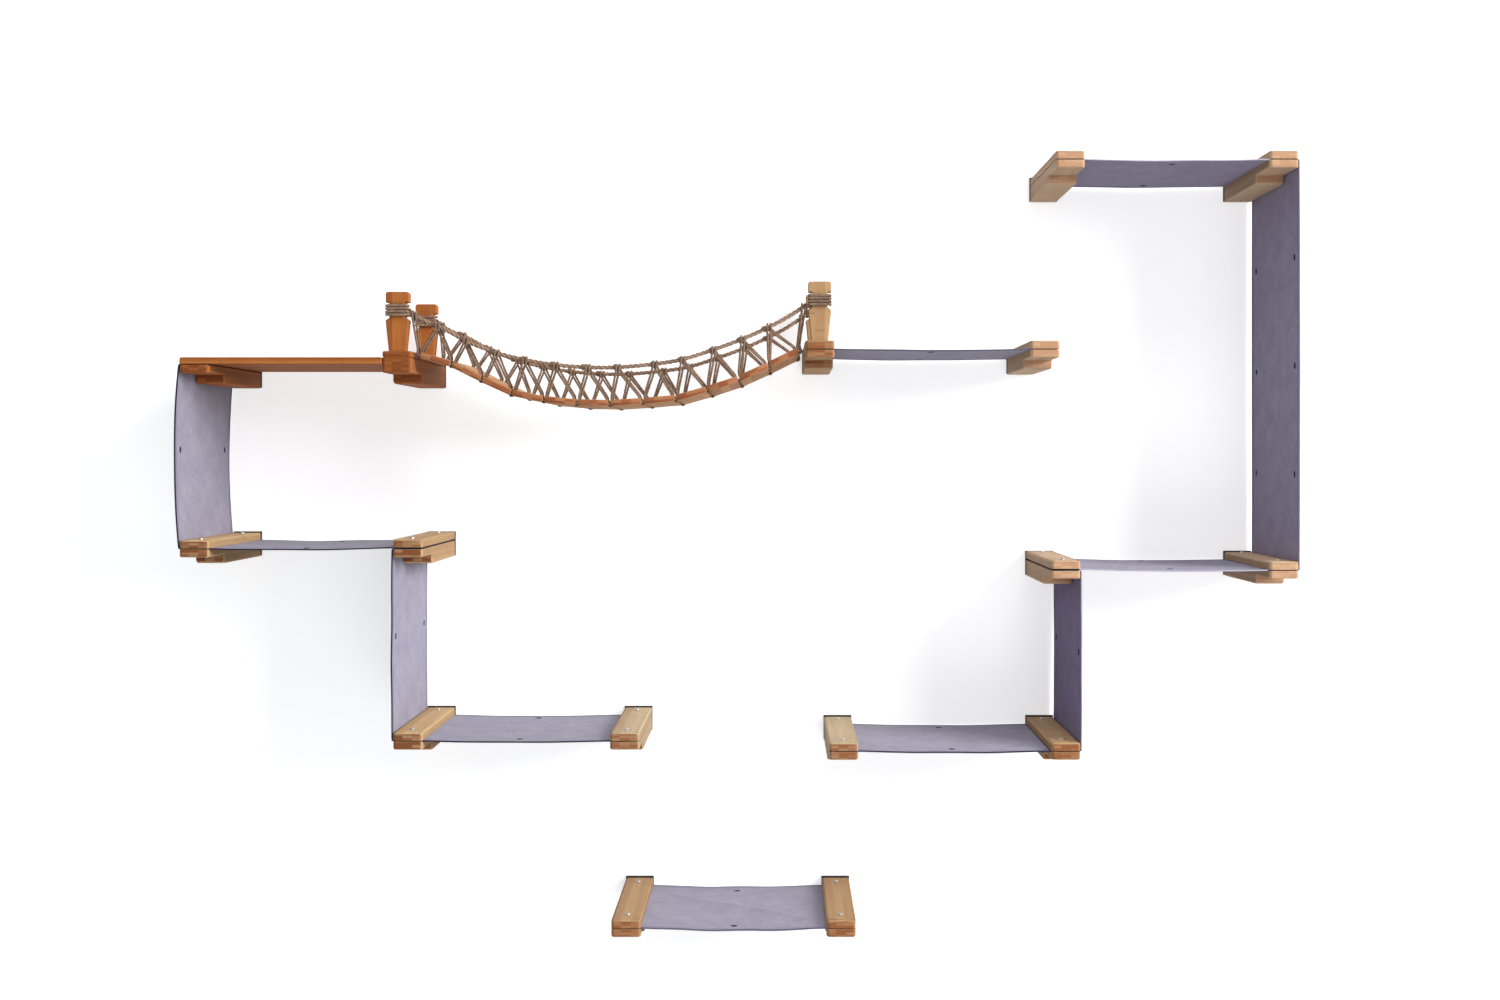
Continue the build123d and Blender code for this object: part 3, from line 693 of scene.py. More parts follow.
def slat_tree(slat):
    """Lays a slat on every point, tilted as the point says, each cut from another stretch of bamboo."""
    group, given, out = new_group("laid_slats", "GeometryNodeTree", {
        "Places": GEOMETRY, "Seed": 5, "Finish": MATERIAL}, {"Slats": GEOMETRY})
    turn = first(group, "ShaderNodeCombineXYZ", {1: stored(group, "tilt", "FLOAT")})
    laid = copies_on(group, given["Places"], shape_of(group, slat), turn)
    strips = first(group, "FunctionNodeRandomValue", {0: (0, 1, 1), 1: (3, 30, 30), "Seed": given["Seed"]},
                   data_type="FLOAT_VECTOR")
    moved = vector(group, "MULTIPLY", vector(group, "FLOOR", strips), (0.31, strip_width, layer_height))
    marked = first(group, "GeometryNodeStoreNamedAttribute", {
        "Geometry": laid, "Name": "grain_shift", "Value": moved}, data_type="FLOAT_VECTOR", domain="INSTANCE")
    whole = first(group, "GeometryNodeRealizeInstances", {0: marked})
    there = vector(group, "ADD", stored(group, "grain_at"), stored(group, "grain_shift"))
    grained = first(group, "GeometryNodeStoreNamedAttribute", {
        "Geometry": whole, "Name": "grain_at", "Value": there}, data_type="FLOAT_VECTOR", domain="POINT")
    end_tree(group, out, grained, given["Finish"])
    return group


def tilt_of(points):
    """How far a slat leans down to the right, from the spread of its points."""
    axes = np.linalg.eigh(np.cov((points - points.mean(0))[:, (0, 2)].T))[1]
    across, up = axes[:, 1] * np.sign(axes[0, 1])
    return math.atan2(-up, across)


laid = islands("bridge_slats")
tilts = [tilt_of(points) for points in laid]
middle_slat = len(laid) // 2 - 1
levelling = np.array(Matrix.Rotation(tilts[middle_slat], 3, "Y"))
level = (laid[middle_slat] - laid[middle_slat].mean(0)) @ levelling
slat_width, slat_thick = np.ptp(level, axis=0)[[0, 2]]
rails = [(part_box(f"{row}_hand_rope")[0].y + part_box(f"{row}_hand_rope")[1].y) / 2 for row in ("front", "back")]
slat_length = rails[1] - rails[0] - 2 * (turn_in - pocket_long / 2 - slat_lip)
slat = link("slat", slat_mesh(slat_width, slat_length, slat_thick))
middles = points_mesh("slat_middles", [points.mean(0) for points in laid])
store(middles, "tilt", tilts)
deck = grown(middles, slat_tree(slat), {"Finish": deck_bamboo})
new_piece("deck_slats", deck, deck_bamboo, DECK, ["bridge_slats"])
bpy.data.objects.remove(slat)


# Lines in the XZ plane that canvases follow

def arc(centre, radius, start, end, steps):
    """Points of an arc, its angles in degrees."""
    angles = np.radians(np.linspace(start, end, steps))
    return [(centre[0] + radius * math.cos(a), centre[1] + radius * math.sin(a)) for a in angles]


def bowed(start, end, bow, steps=24):
    """Points of a shallow bow from one place to another, its middle moved by a vector."""
    start, end, bow = (np.array(v, float) for v in (start, end, bow))
    shares = np.linspace(0, 1, steps)[:, None]
    return [tuple(p) for p in start + (end - start) * shares + bow * 4 * shares * (1 - shares)]


def even(line, step):
    """A line divided evenly, with its distance from the start."""
    line = np.array(line, float)
    line = line[np.r_[True, np.hypot(*np.diff(line, axis=0).T) > 1e-7]]
    at = np.r_[0, np.cumsum(np.hypot(*np.diff(line, axis=0).T))]
    where = np.linspace(0, at[-1], max(2, round(at[-1] / step) + 1))
    return np.column_stack([np.interp(where, at, line[:, k]) for k in (0, 1)]), where


def slot_line(low, high, rows, step):
    """Even places from low to high, moved so that each row of slots lies between two of them."""
    line = np.linspace(low, high, max(2, round((high - low) / step) + 1))
    for centre, half in rows:
        for side in (-1, 1):
            line[np.argmin(np.abs(line - centre - side * half))] = centre + side * half
    return np.unique(line)


def arm_edges(arm):
    """The left and right sides of an arm and the height of its seam."""
    low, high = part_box(f"{arm}_arm")
    return low.x, high.x, high.z


def flap(node, near_x, side):
    """Where a canvas's flap ends inside an arm's seam, and its height there."""
    at = places(nodes[node].data)
    close = at[np.abs(at[:, 0] - near_x) < flap_reach]
    end = close[:, 0].min() if side > 0 else close[:, 0].max()
    tip = close[np.abs(close[:, 0] - end) < 0.0001]
    return end, (tip[:, 2].min() + tip[:, 2].max()) / 2


def shelf_line(name, left, right):
    """A shelf's line: through the left seam, sagging between the arms, through the right seam."""
    node = f"{name}_canvas"
    sag = hammock_sag if name == "hammock" else shelf_sag
    left_side, right_side = arm_edges(left)[1], arm_edges(right)[0]
    start, left_up = flap(node, left_side, 1)
    end, right_up = flap(node, right_side, -1)
    free = bowed((left_side + canvas_lead, left_up), (right_side - canvas_lead, right_up), (0, -sag))
    return [(start, left_up)] + free + [(end, right_up)]


def drop_line(name, upper, lower, side, bow):
    """A drop's line: out of the upper seam, round a bend, down in a bow, and back into the lower seam."""
    at = places(nodes[f"{name}_canvas"].data)
    clear = canvas_thick / 2 + held_clear
    radius = drop_turn - canvas_thick / 2
    edges, levels, ends = [], [], []
    for left_side, right_side, up in (arm_edges(upper), arm_edges(lower)):
        close = at[np.abs(at[:, 2] - up) < flap_high]
        edges.append(right_side if side > 0 else left_side)
        levels.append(up + clear)
        ends.append(close[:, 0].min() if side > 0 else close[:, 0].max())
    top, foot = levels
    top_bend = arc((edges[0], top - radius), radius, 90, 90 - side * 90, 6)
    foot_bend = arc((edges[1], foot + radius), radius, 90 - side * 90, 90 - side * 180, 6)
    free = bowed(top_bend[-1], foot_bend[0], (side * bow, 0))
    return [(ends[0], top)] + top_bend + free + foot_bend + [(ends[1], foot)]


def creases(seed, depth, fold=0.0):
    """Faint pulls in a stretched canvas, dying out at the arms, and a fold from one corner to the other."""
    draw = np.random.default_rng(seed)
    turn, fold_reach = 6.28, 0.05
    waves = [(draw.uniform(-3, 3), draw.uniform(2, 7), draw.uniform(0, 6.3), draw.uniform(0.3, 1))
             for wave in range(5)]

    def lift(s, y):
        s, y = np.meshgrid(s, y, indexing="ij")
        free = np.clip(np.sin(np.pi * np.clip((s - 0.1) / 0.8, 0, 1)), 0, 1) ** 0.7
        total = sum(size * np.sin(turn * (along * s + over * y) + phase)
                    for along, over, phase, size in waves)
        from_fold = np.abs(s + y - 1.0 + 0.05 * np.sin(7 * s))
        return free * (depth * total / 2 + fold * np.exp(-from_fold / fold_reach))
    return lift


# Canvas

# The tower canvases get copies of the canvas cloth with painted shade: bluer, and for the short drop darker as
# well.
cloth_of = {"tower_top_shelf": tower_cloth, "tower_tall_drop": tower_cloth, "tower_short_drop": shaded_cloth}
edge_of = {
    "plank_drop": dark_edge, "middle_drop": dark_edge, "middle_shelf": dark_edge, "lower_shelf": dark_edge,
    "tower_foot_shelf": dark_edge, "bridge_shelf": grey_edge, "hammock": grey_edge,
}


def grid_mesh(name, at, uv, holes=None):
    """A mesh of a grid of points, with a map of where each lies in the flat cloth."""
    rows, columns = at.shape[:2]
    mesh = bpy.data.meshes.new(name)
    index = np.arange(rows * columns).reshape(rows, columns)
    faces = np.stack([index[:-1, :-1], index[1:, :-1], index[1:, 1:], index[:-1, 1:]], -1).reshape(-1, 4)
    if holes is not None:
        faces = faces[~holes.ravel()]
    mesh.from_pydata(at.reshape(-1, 3).tolist(), [], faces.tolist())
    layer = mesh.uv_layers.new(name="cloth_at")
    corners = np.zeros(len(mesh.loops), np.int32)
    mesh.loops.foreach_get("vertex_index", corners)
    layer.data.foreach_set("uv", uv.reshape(-1, 2)[corners].astype(np.float32).ravel())
    return mesh


def stitch_tree():
    """Threads laid on a line at even steps: along it for a seam, across it for a bound edge."""
    group, given, out = new_group("stitches", "GeometryNodeTree", {
        "Line": GEOMETRY, "Step": 0.005, "Length": 0.003, "Thread": 0.0005, "Turn": 0.0, "Finish": MATERIAL},
        {"Threads": GEOMETRY})
    line = first(group, "GeometryNodeMeshToCurve", {0: given["Line"]})
    steps = add(group, "GeometryNodeCurveToPoints", {"Curve": line, "Length": given["Step"]},
                mode="LENGTH").outputs
    spin = first(group, "ShaderNodeCombineXYZ", {2: given["Turn"]})
    turned = facing(group, steps["Tangent"], stored(group, "level"), spin)
    bead = first(group, "GeometryNodeMeshIcoSphere", {"Radius": 0.5, "Subdivisions": 1})
    smooth = first(group, "GeometryNodeSetShadeSmooth", {"Geometry": bead})
    size = first(group, "ShaderNodeCombineXYZ", {0: given["Length"], 1: given["Thread"], 2: given["Thread"]})
    end_tree(group, out, copies_on(group, steps["Points"], smooth, turned, Scale=size), given["Finish"])
    return group


stitches = stitch_tree()


def stitched(name, lines, stitch, material):
    """Threads along lines, each a list of places and a list of normals, as a piece."""
    points, edges, ups = [], [], []
    for line, normals in lines:
        edges += [(k, k + 1) for k in range(len(points), len(points) + len(line) - 1)]
        points += list(line)
        ups += list(normals)
    mesh = points_mesh("thread_lines", points, edges)
    store(mesh, "level", ups)
    return new_piece(name, grown(mesh, stitches, stitch | {"Finish": material}), material, ROOT)


def seam_threads(name, at, normals, s):
    """A running stitch along each folded hem, on both faces, between the arms."""
    free = (s > stitched_from) & (s < s[-1] - stitched_from)
    inset, raised = fold_width - fold_inset, canvas_thick / 2
    lines = [(at[free, k] + (0, side * inset, 0) + face * raised * normals[free], face * normals[free])
             for k, side in ((0, 1), (-1, -1)) for face in (-1, 1)]
    return stitched(name, lines, hem_stitch, thread_fibre)


def slot_threads(name, slots):
    """Close stitches that bind the edge of every slot, on both faces."""
    lines = []
    turns = np.linspace(0, 2 * np.pi, 33)
    width = np.array((0, slot_width / 2 + slot_rim, 0))
    for middle, along, normal in slots:
        long = along * (slot_length / 2 + slot_rim)
        ring = np.array([middle + long * np.sign(c) * abs(c) ** slot_rounding
                         + width * np.sign(d) * abs(d) ** slot_rounding
                         for c, d in zip(np.cos(turns), np.sin(turns))])
        lines += [(ring + face * canvas_thick / 2 * normal, [face * normal] * len(ring)) for face in (-1, 1)]
    return stitched(name, lines, slot_stitch, dark_edge)


def slot_places(line, lengths, distances, rows, nearest):
    """Each slot's middle on the cloth, with the directions along the cloth and out of it."""
    found = []
    for where in distances:
        k = np.searchsorted(lengths, where)
        along = np.array([line[k, 0] - line[k - 1, 0], 0, line[k, 1] - line[k - 1, 1]])
        along /= np.linalg.norm(along)
        normal = np.cross(along, (0, 1, 0))
        x, z = (np.interp(where, lengths, line[:, axis]) for axis in (0, 1))
        for side in rows:
            on_line = np.array([x, side, z])
            found.append((on_line + normal * np.dot(nearest(where, side) - on_line, normal), along, normal))
    return found


def paint_seam_shade(mesh, arms_held):
    """Paints the ends of a canvas where the arms clamp them in the dark edge cloth: painted shade for the dark
    line along each arm's seam.
    """
    mesh.materials.append(dark_edge)
    seams = [arm_edges(arm) for arm in arms_held]
    for face in mesh.polygons:
        x, _, z = face.center
        held = any(left < x < right and abs(z - up) < held_high for left, right, up in seams)
        face.material_index = int(held)


def bound_edge(name, edge, across, s, side, material, arms_held):
    """The turned edge of a canvas: a flat tube along it, its section given as places inward and up."""
    half, inner = edge_thick / 2, edge_width + edge_ease
    upper = [(-edge_proud, half * 0.5), (edge_ease, half), (edge_width, half), (inner, half * 0.6)]
    lower = [(inward, -up) for inward, up in upper]
    section = lower[:1] + upper + lower[:0:-1] + lower[:1]
    at = np.zeros((len(s), len(section), 3))
    uv = np.zeros((len(s), len(section), 2))
    for k, (inward, up) in enumerate(section):
        at[:, k, 0] = edge[:, 0] + up * across[:, 0]
        at[:, k, 1] = edge[:, 1] + side * inward
        at[:, k, 2] = edge[:, 2] + up * across[:, 1]
        uv[:, k] = np.column_stack([s, np.full(len(s), edge_map_place + k * edge_map_step)])
    mesh = grid_mesh(name, at, uv)
    work = bmesh.new()
    work.from_mesh(mesh)
    bmesh.ops.remove_doubles(work, verts=work.verts, dist=0.000001)
    bmesh.ops.holes_fill(work, edges=work.edges, sides=0)
    bmesh.ops.recalc_face_normals(work, faces=work.faces)
    work.to_mesh(mesh)
    work.free()
    piece = new_piece(name, mesh, material, ROOT)
    paint_seam_shade(mesh, arms_held)
    return piece


def canvas(name, line, slots_at, arms_held, wrinkles):
    """A canvas strip along a line, hemmed at both long edges, with slots near them."""
    node = f"{name}_canvas"
    low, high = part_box(node)
    line, lengths = even(line, cloth_step / 2)
    total = lengths[-1]
    distances = [share * total for share in slots_at]
    rows = [low.y + slot_edge_gap, high.y - slot_edge_gap]
    s = slot_line(0, total, [(where, slot_length / 2) for where in distances], cloth_step)
    y = slot_line(low.y, high.y, [(row, slot_width / 2) for row in rows], cloth_step)

    x, z = (np.interp(s, lengths, line[:, k]) for k in (0, 1))
    dx, dz = np.gradient(x, s), np.gradient(z, s)
    size = np.hypot(dx, dz)
    across = np.stack([-dz / size, dx / size], -1)
    lift = wrinkles(s / total, (y - low.y) / (high.y - low.y))
    at = np.zeros((len(s), len(y), 3))
    at[..., 0] = x[:, None] + lift * across[:, None, 0]
    at[..., 1] = y[None, :]
    at[..., 2] = z[:, None] + lift * across[:, None, 1]
    uv = np.stack(np.meshgrid(s, y, indexing="ij"), -1)

    in_s = np.any([np.abs((s[1:] + s[:-1]) / 2 - where) < slot_length / 2 for where in distances], axis=0)
    in_y = np.any([np.abs((y[1:] + y[:-1]) / 2 - row) < slot_width / 2 for row in rows], axis=0)
    sheet = grid_mesh(node, at, uv, in_s[:, None] & in_y[None, :])
    sheet = applied(sheet, "SOLIDIFY", thickness=canvas_thick, offset=0.0, use_even_offset=False)
    sheet.shade_smooth()
    cloth = new_piece(f"{name}_cloth", sheet, cloth_of.get(name, canvas_cloth), ROOT, [node])
    paint_seam_shade(sheet, arms_held)

    # Canvases not listed, the tower ones, get the pale edge: a painted highlight on their lit edges.
    binding = edge_of.get(name, light_edge)
    edges = [bound_edge(f"{name}_{label}_edge", at[:, k], across, s, side, binding, arms_held)
             for label, k, side in (("front", 0, 1), ("back", -1, -1))]
    threads = seam_threads(f"{name}_hem_threads", at, np.insert(across, 1, 0.0, axis=1), s)

    def nearest(where, side):
        return at[np.argmin(np.abs(s - where)), np.argmin(np.abs(y - side))]

    slots = slot_places(line, lengths, distances, rows, nearest)
    bars = slot_threads(f"{name}_slot_threads", slots)


for number, (name, (left, right)) in enumerate(shelves.items()):
    fold = hammock_fold if name == "hammock" else 0.0
    pulls = creases(number, shelf_pulls, fold)
    canvas(name, shelf_line(name, left, right), [0.5], [left, right], pulls)
for number, (name, (upper, lower, side, pairs, bow)) in enumerate(drops.items()):
    shares = [(row + 1) / (pairs + 1) for row in range(pairs)]
    pulls = creases(20 + number, drop_pulls)
    canvas(name, drop_line(name, upper, lower, side, bow), shares, [upper, lower], pulls)


# Ropes

def rope_tree():
    """Strands wound round a line, each of yarns wound round the strand."""
    group, given, out = new_group("laid_rope", "GeometryNodeTree", {
        "Line": GEOMETRY, "Strands": 3, "Strand Out": 0.002, "Strand Lay": 0.03, "Yarns": 3, "Yarn Out": 0.001,
        "Yarn Lay": 0.012, "Yarn Size": 0.001, "Step": 0.002, "Finish": MATERIAL}, {"Rope": GEOMETRY})
    do, move = partial(calc, group), partial(vector, group)
    line = first(group, "GeometryNodeMeshToCurve", {0: given["Line"]})
    for count, outward, lay in (("Strands", "Strand Out", "Strand Lay"), ("Yarns", "Yarn Out", "Yarn Lay")):
        steps = {"Curve": line, "Length": given["Step"]}
        line = first(group, "GeometryNodeResampleCurve", steps, mode="LENGTH")
        copies = add(group, "GeometryNodeDuplicateElements", {"Geometry": line, "Amount": given[count]},
                     domain="SPLINE").outputs
        length = add(group, "GeometryNodeSplineParameter").outputs["Length"]
        share = do("DIVIDE", copies["Duplicate Index"], given[count])
        turns = do("ADD", share, do("DIVIDE", length, given[lay]))
        angle = do("MULTIPLY", turns, 2 * math.pi)
        normal = first(group, "GeometryNodeInputNormal")
        side = move("CROSS_PRODUCT", first(group, "GeometryNodeInputTangent"), normal)
        about = move("ADD", move("SCALE", normal, Scale=do("COSINE", angle)),
                     move("SCALE", side, Scale=do("SINE", angle)))
        shift = move("SCALE", about, Scale=given[outward])
        line = first(group, "GeometryNodeSetPosition", {"Geometry": copies[0], "Offset": shift})
    ring = first(group, "GeometryNodeCurvePrimitiveCircle", {
        "Resolution": 6, "Radius": given["Yarn Size"]})
    tube = first(group, "GeometryNodeCurveToMesh", {
        "Curve": line, "Profile Curve": ring, "Fill Caps": True})
    end_tree(group, out, first(group, "GeometryNodeSetShadeSmooth", {"Geometry": tube}), given["Finish"])
    return group


laid_rope = rope_tree()


def smooth_line(points):
    """The points of the smooth line that a route's points steer."""
    curve = bpy.data.curves.new("route", "CURVE")
    curve.dimensions = "3D"
    spline = curve.splines.new("NURBS")
    spline.points.add(len(points) - 1)
    for place, point in zip(spline.points, points):
        place.co = (*point, 1)
    spline.order_u = 3
    spline.use_endpoint_u = True
    spline.resolution_u = 8
    return evaluated(link("route", curve))


def rope(lines, diameter, strands, lay, material, step=rope_step):
    """Cords of one size laid along lines, as one mesh, of one, two or three strands of three yarns."""
    strand = diameter / 2 * {1: 1.0, 2: 0.52, 3: 0.5}[strands]
    yarn = strand * yarn_share
    values = {"Strands": strands, "Strand Out": diameter / 2 - strand, "Strand Lay": lay, "Yarns": 3,
              "Yarn Out": strand - yarn, "Yarn Lay": lay * yarn_lay_share, "Yarn Size": yarn, "Step": step,
              "Finish": material}
    work = bmesh.new()
    for line in lines:
        work.from_mesh(grown(line, laid_rope, values))
    return finished(work, "rope")


def lacing_route(y, turn_y, pair=0):
    """Over the hand rope, round a cross rope and on to the next place: the middle, or a cord beside it."""
    apart, behind = pair * pair_spread, turn_y + pair * lacing_strand / 2
    first_x, first_z = lacing_tops[0]
    corners = [(first_x + apart, y + hump_out, first_z + seam - tail_drop)]
    for (x, z), joint in zip(lacing_tops, joints + [None]):
        middle, out = z + seam, hump_out if x == first_x else -hump_out
        corners += [(x + apart, y + out, middle - hump_low), (x + apart, y + out, middle + hump_out),
                    (x + apart, y - out, middle + hump_out), (x + apart, y - out, middle - hump_low)]
        if joint:
            at, along, up = joint
            for across, rise in ((-1, turn_rise), (-1, -turn_radius), (1, -turn_radius), (1, turn_rise)):
                place = at + across * turn_radius * along + rise * up
                corners.append((place.x + (pair * pair_close if rise > 0 else 0), behind, place.z))
    last_x, last_z = lacing_tops[-1]
    corners.append((last_x + apart, y + hump_out, last_z + seam - tail_drop))
    return corners


def deck_joints():
    """Each cross rope's middle, raised into its gap, with the directions along the deck and up from it."""
    found = []
    leans = [(before + after) / 2 for before, after in zip(tilts[:1] + tilts, tilts + tilts[-1:])]
    for points, lean in zip(islands("cross_ropes"), leans):
        along, up = Vector((math.cos(lean), 0, -math.sin(lean))), Vector((math.sin(lean), 0, math.cos(lean)))
        found.append((Vector(box_middle(points)) + turn_lift * up, along, up))
    return found


def tightened(corners):
    """A route with one more point beside each corner on its long runs, so that these stay straight."""
    points = [Vector(corners[0])]
    for here, there in zip(corners, corners[1:]):
        here, there = Vector(here), Vector(there)
        run = there - here
        if run.length > long_run:
            near = run.normalized() * run_lead
            points += [here + near, there - near]
        points.append(there)
    return points


def coil(radius, turns, pitch):
    """Turns of a helix along X, its middle at the origin."""
    angles = np.linspace(0, 2 * np.pi * turns, round(24 * turns))
    across = (angles / (2 * np.pi) - turns / 2) * pitch
    points = np.column_stack([across, radius * np.cos(angles), radius * np.sin(angles)])
    return points_mesh("coil", points, [(k, k + 1) for k in range(len(points) - 1)])


def copies_tree(thing, seed, threaded):
    """Puts a copy of a thing on every point, spun by chance: about the line it is threaded on, or upright."""
    group, given, out = new_group(f"placed_{thing.name}", "GeometryNodeTree", {
        "Places": GEOMETRY, "Seed": seed, "Finish": MATERIAL}, {"Placed": GEOMETRY})
    angle = add(group, "FunctionNodeRandomValue", {2: 0.0, 3: 2 * math.pi, "Seed": given["Seed"]},
                data_type="FLOAT").outputs[1]
    turned = first(group, "ShaderNodeCombineXYZ", {0 if threaded else 2: angle})
    if threaded:
        turned = facing(group, stored(group, "along"), (0, 0, 1), turned)
    end_tree(group, out, copies_on(group, given["Places"], shape_of(group, thing), turned), given["Finish"])
    return group


def hitches(line):
    """Small coils bound round the hand rope, one beside each place where the lacing goes over it."""
    turns = [coil(hitch_radius, hitch_turns, hitch_cord)]
    thing = link("hitch", rope(turns, hitch_cord, 1, hitch_lay, cord_fibre, hitch_step))
    found = places(line)
    near = [int(np.argmin(np.abs(found[:, 0] - x - hitch_shift))) for x, z in lacing_tops[:-1]]
    spots = points_mesh("spots", [found[k] for k in near])
    store(spots, "along", [found[min(k + 1, len(found) - 1)] - found[k - 1] for k in near])
    mesh = grown(spots, copies_tree(thing, 1, True), {"Finish": cord_fibre})
    bpy.data.objects.remove(thing)
    return mesh


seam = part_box("bridge_left_arm")[1].z
joints = deck_joints()
turn_ys = (rails[0] + turn_in, rails[1] - turn_in)
for row, body, y, turn_y in zip(("front", "back"), (FRONT_RAIL, BACK_RAIL), rails, turn_ys):
    route = [(x, y, z + seam) for x, z in hand_rope_route]
    line = smooth_line(route)
    mesh = rope([line], hand_rope, 3, hand_lay, rope_fibre)
    piece = new_piece(f"{row}_hand_rope_strands", mesh, rope_fibre, body, [f"{row}_hand_rope"])
    places(line).tolist()
    new_piece(f"{row}_hitches", hitches(line), cord_fibre, body)
    route = tightened(lacing_route(y, turn_y))
    pair = [smooth_line(tightened(lacing_route(y, turn_y, side))) for side in (1, -1)]
    mesh = rope(pair, lacing_strand, 1, lacing_lay, cord_fibre, lacing_step)
    piece = new_piece(f"{row}_lacing_cords", mesh, cord_fibre, body, [f"{row}_lacing"])
    places(smooth_line(route)).tolist()

tail = pocket_long / 2 + slat_lip / 2
ends = (turn_ys[0] - tail, turn_ys[1] + tail)
lines = [points_mesh("line", [(at.x, y, at.z) for y in ends], [(0, 1)]) for at, along, up in joints]
mesh = rope(lines, cross_rope, 2, cross_lay, rope_fibre)
new_piece("cross_rope_strands", mesh, rope_fibre, DECK, ["cross_ropes"])


def winding_line(post, mirror):
    """Turns of a cord round a post's neck, level in front and climbing behind."""
    low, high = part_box(f"{post}_post")
    middle = Vector(((low.x + high.x) / 2, (low.y + high.y) / 2, high.z - neck_drop))
    reach_x, reach_y = winding_reach
    c = winding_corner
    points = []
    for turn in range(winding_turns):
        up = winding_cord * (turn - (winding_turns - 1) / 2)
        if turn:
            points += [(-reach_x + c, reach_y, up), (-reach_x, reach_y, up), (-reach_x, reach_y - c, up)]
        else:
            points.append((-reach_x, 0, up))
        points += [(-reach_x, -reach_y + c, up), (-reach_x, -reach_y, up), (-reach_x + c, -reach_y, up),
                   (reach_x - c, -reach_y, up), (reach_x, -reach_y, up), (reach_x, -reach_y + c, up)]
        if turn < winding_turns - 1:
            points += [(reach_x, reach_y - c, up), (reach_x, reach_y, up), (reach_x - c, reach_y, up)]
        else:
            points.append((reach_x, 0, up))
    loose = random.uniform(-winding_slack, winding_slack, len(points))
    return smooth_line([middle + Vector((mirror * x, y, z + off)) for (x, y, z), off in zip(points, loose)])


for row in ("front", "back"):
    lines = [winding_line(f"{row}_left", 1), winding_line(f"{row}_right", -1)]
    mesh = rope(lines, winding_cord, 3, winding_lay, rope_fibre, winding_step)
    new_piece(f"{row}_winding_cords", mesh, rope_fibre, ROOT, [f"{row}_post_windings"])


# Screws and plates

def turned_head(name, profile, recess, sides=24):
    """A round screw head with a six-sided recess, standing on the origin."""
    recess_across, recess_deep = recess
    angles = [2 * math.pi * k / sides for k in range(sides)]
    hexagon = [recess_across / 2 / math.cos(a % (math.pi / 3) - math.pi / 6) for a in angles]
    top = profile[-1][1]
    rings = [([radius] * sides, up) for radius, up in profile]
    rings += [(hexagon, top), (hexagon, top - recess_deep)]
    points = [(radius * math.cos(a), radius * math.sin(a), up) for radii, up in rings
              for radius, a in zip(radii, angles)]
    faces = []
    for start in range(0, (len(rings) - 1) * sides, sides):
        for k in range(sides):
            after = (k + 1) % sides
            faces.append((start + k, start + after, start + sides + after, start + sides + k))
    last = (len(rings) - 1) * sides
    points.append((0, 0, top - recess_deep - recess_dip))
    faces += [(last + k, last + (k + 1) % sides, len(points) - 1) for k in range(sides)]
    faces.append(tuple(reversed(range(sides))))
    mesh = bpy.data.meshes.new(name)
    mesh.from_pydata(points, [], faces)
    return mesh


def scattered(mesh, at, material):
    """Copies of one mesh at several places, as one mesh."""
    thing = link(mesh.name, mesh)
    result = grown(points_mesh("places", at), copies_tree(thing, 3, False), {"Finish": material})
    bpy.data.objects.remove(thing)
    return result


tops = [(*box_middle(points)[:2], points[:, 2].max() - head_height) for points in islands("clamp_screws")]
heads = scattered(turned_head("screw_head", head_profile, head_recess), tops, bright_steel)
heads.shade_smooth()
heads.set_sharp_from_angle(angle=math.radians(35))
new_piece("clamp_screw_heads", heads, bright_steel, ROOT, ["clamp_screws"])

feet = [(*box_middle(points)[:2], points[:, 2].min() - lock_longer) for points in islands("lock_screws")]
lock = turned_head("lock_screw", lock_profile, lock_recess)
lock.transform(Matrix.Rotation(math.pi, 4, "X"))
new_piece("lock_screw_sockets", scattered(lock, feet, black_steel), black_steel, ROOT,
          ["lock_screws"])

for node, material in (("wall_plates", black_steel), ("plank_dowels", pale_bamboo)):
    nodes[node].data.materials.clear()
    nodes[node].data.materials.append(material)


# Wall, light and camera

wall_place = 0.0006
wall_half = (12, 8)
wall_glow = 0.58
world_level = 0.36
world_lean = -0.14
world_tint = (0.90, 0.94, 1, 1)
set_middle = (0.7, 0, -0.2)


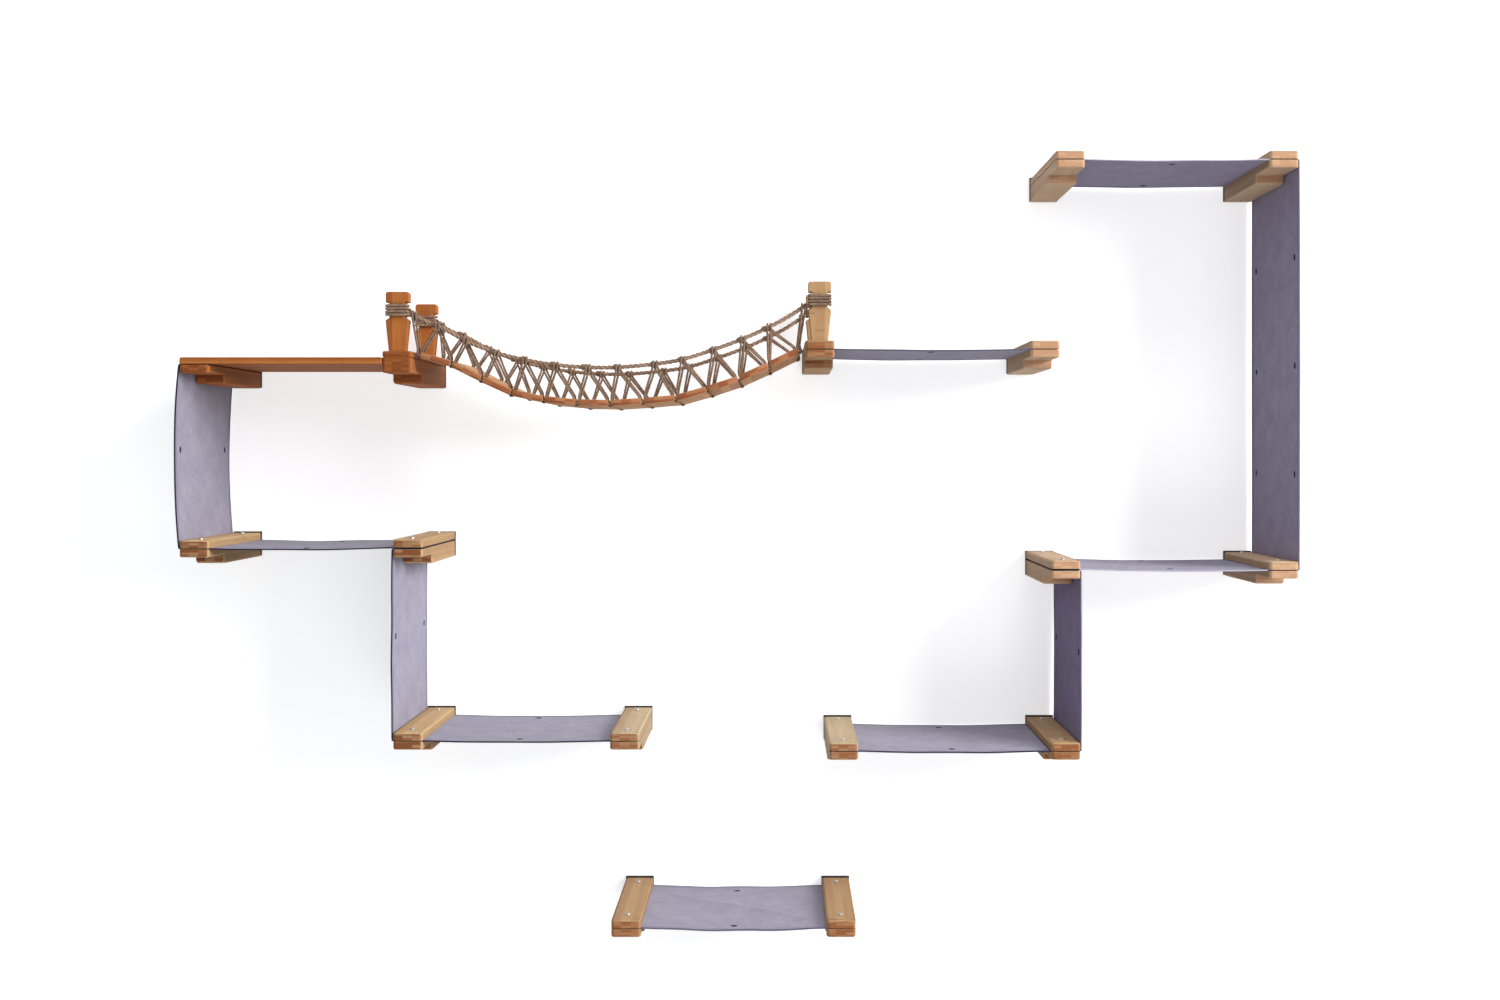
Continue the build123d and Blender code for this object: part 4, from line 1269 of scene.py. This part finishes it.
def wall():
    """A pale wall that is seen, and catches shadows, from its front only."""
    mesh = bpy.data.meshes.new("wall")
    corners = ((-1, -1), (1, -1), (1, 1), (-1, 1))
    half_long, half_high = wall_half
    at = [(half_long * x, wall_place, half_high * z) for x, z in corners]
    mesh.from_pydata(at, [], [(0, 1, 2, 3)])
    material = bpy.data.materials.new("wall_paint")
    material.use_nodes = True
    tree = material.node_tree
    tree.nodes.clear()
    paint = first(tree, "ShaderNodeBsdfDiffuse", {"Color": (0.7, 0.7, 0.7, 1)})
    glow = first(tree, "ShaderNodeEmission", {"Color": (1, 1, 1, 1), "Strength": wall_glow})
    both = first(tree, "ShaderNodeAddShader", {0: paint, 1: glow})
    rays = add(tree, "ShaderNodeLightPath").outputs
    in_gloss = calc(tree, "MAXIMUM", rays["Is Glossy Ray"], rays["Is Transmission Ray"])
    shown = calc(tree, "MAXIMUM", rays["Is Camera Ray"], in_gloss)
    lit = first(tree, "ShaderNodeMixShader", {0: shown, 1: paint, 2: both})
    clear = first(tree, "ShaderNodeBsdfTransparent")
    behind = add(tree, "ShaderNodeNewGeometry").outputs["Backfacing"]
    through = calc(tree, "MAXIMUM", behind, rays["Is Shadow Ray"])
    surface = first(tree, "ShaderNodeMixShader", {0: through, 1: lit, 2: clear})
    add(tree, "ShaderNodeOutputMaterial", {0: surface})
    mesh.materials.append(material)
    link("wall", mesh)


def lamp(name, place, size, power):
    """A soft square lamp that points at the middle of the set."""
    light = bpy.data.lights.new(name, "AREA")
    light.size = size
    light.energy = power
    made = link(name, light)
    made.location = place
    made.rotation_euler = (Vector(set_middle) - Vector(place)).to_track_quat("-Z", "Y").to_euler()


def surroundings():
    """A pale world: white where it is seen, softer where it lights, most of all from the left."""
    world = bpy.data.worlds.new("surroundings")
    bpy.context.scene.world = world
    world.use_nodes = True
    tree = world.node_tree
    tree.nodes.clear()
    rays = add(tree, "ShaderNodeLightPath").outputs
    seen = first(tree, "ShaderNodeBackground", {"Color": (1, 1, 1, 1), "Strength": 1.0})
    towards = first(tree, "ShaderNodeSeparateXYZ", {0: add(tree, "ShaderNodeTexCoord").outputs["Generated"]})
    level = calc(tree, "MULTIPLY_ADD", towards, world_lean, world_level)
    lighting = first(tree, "ShaderNodeBackground", {"Color": world_tint, "Strength": level})
    mix = first(tree, "ShaderNodeMixShader", {0: rays["Is Camera Ray"], 1: lighting, 2: seen})
    add(tree, "ShaderNodeOutputWorld", {0: mix})


wall()
surroundings()
lamp("key", (7.1, -4.2, 2.5), 3.6, 820)
lamp("top", (1.6, -3.4, 5.5), 3.0, 120)
lamp("low", (2.0, -4.0, -3.0), 2.5, 75)
lamp("behind", (0.7, 3.5, 1.2), 3.0, 40)

camera = link("camera", bpy.data.cameras.new("camera"))
camera.location = (0.7159, -2.979, -0.1614)
camera.rotation_euler = (math.radians(90), 0, 0)
camera.data.sensor_width = 36
camera.data.lens = 34.43
camera.data.shift_x = -0.018
camera.data.shift_y = -0.03
bpy.context.scene.camera = camera
bpy.context.scene.view_settings.view_transform = "Standard"
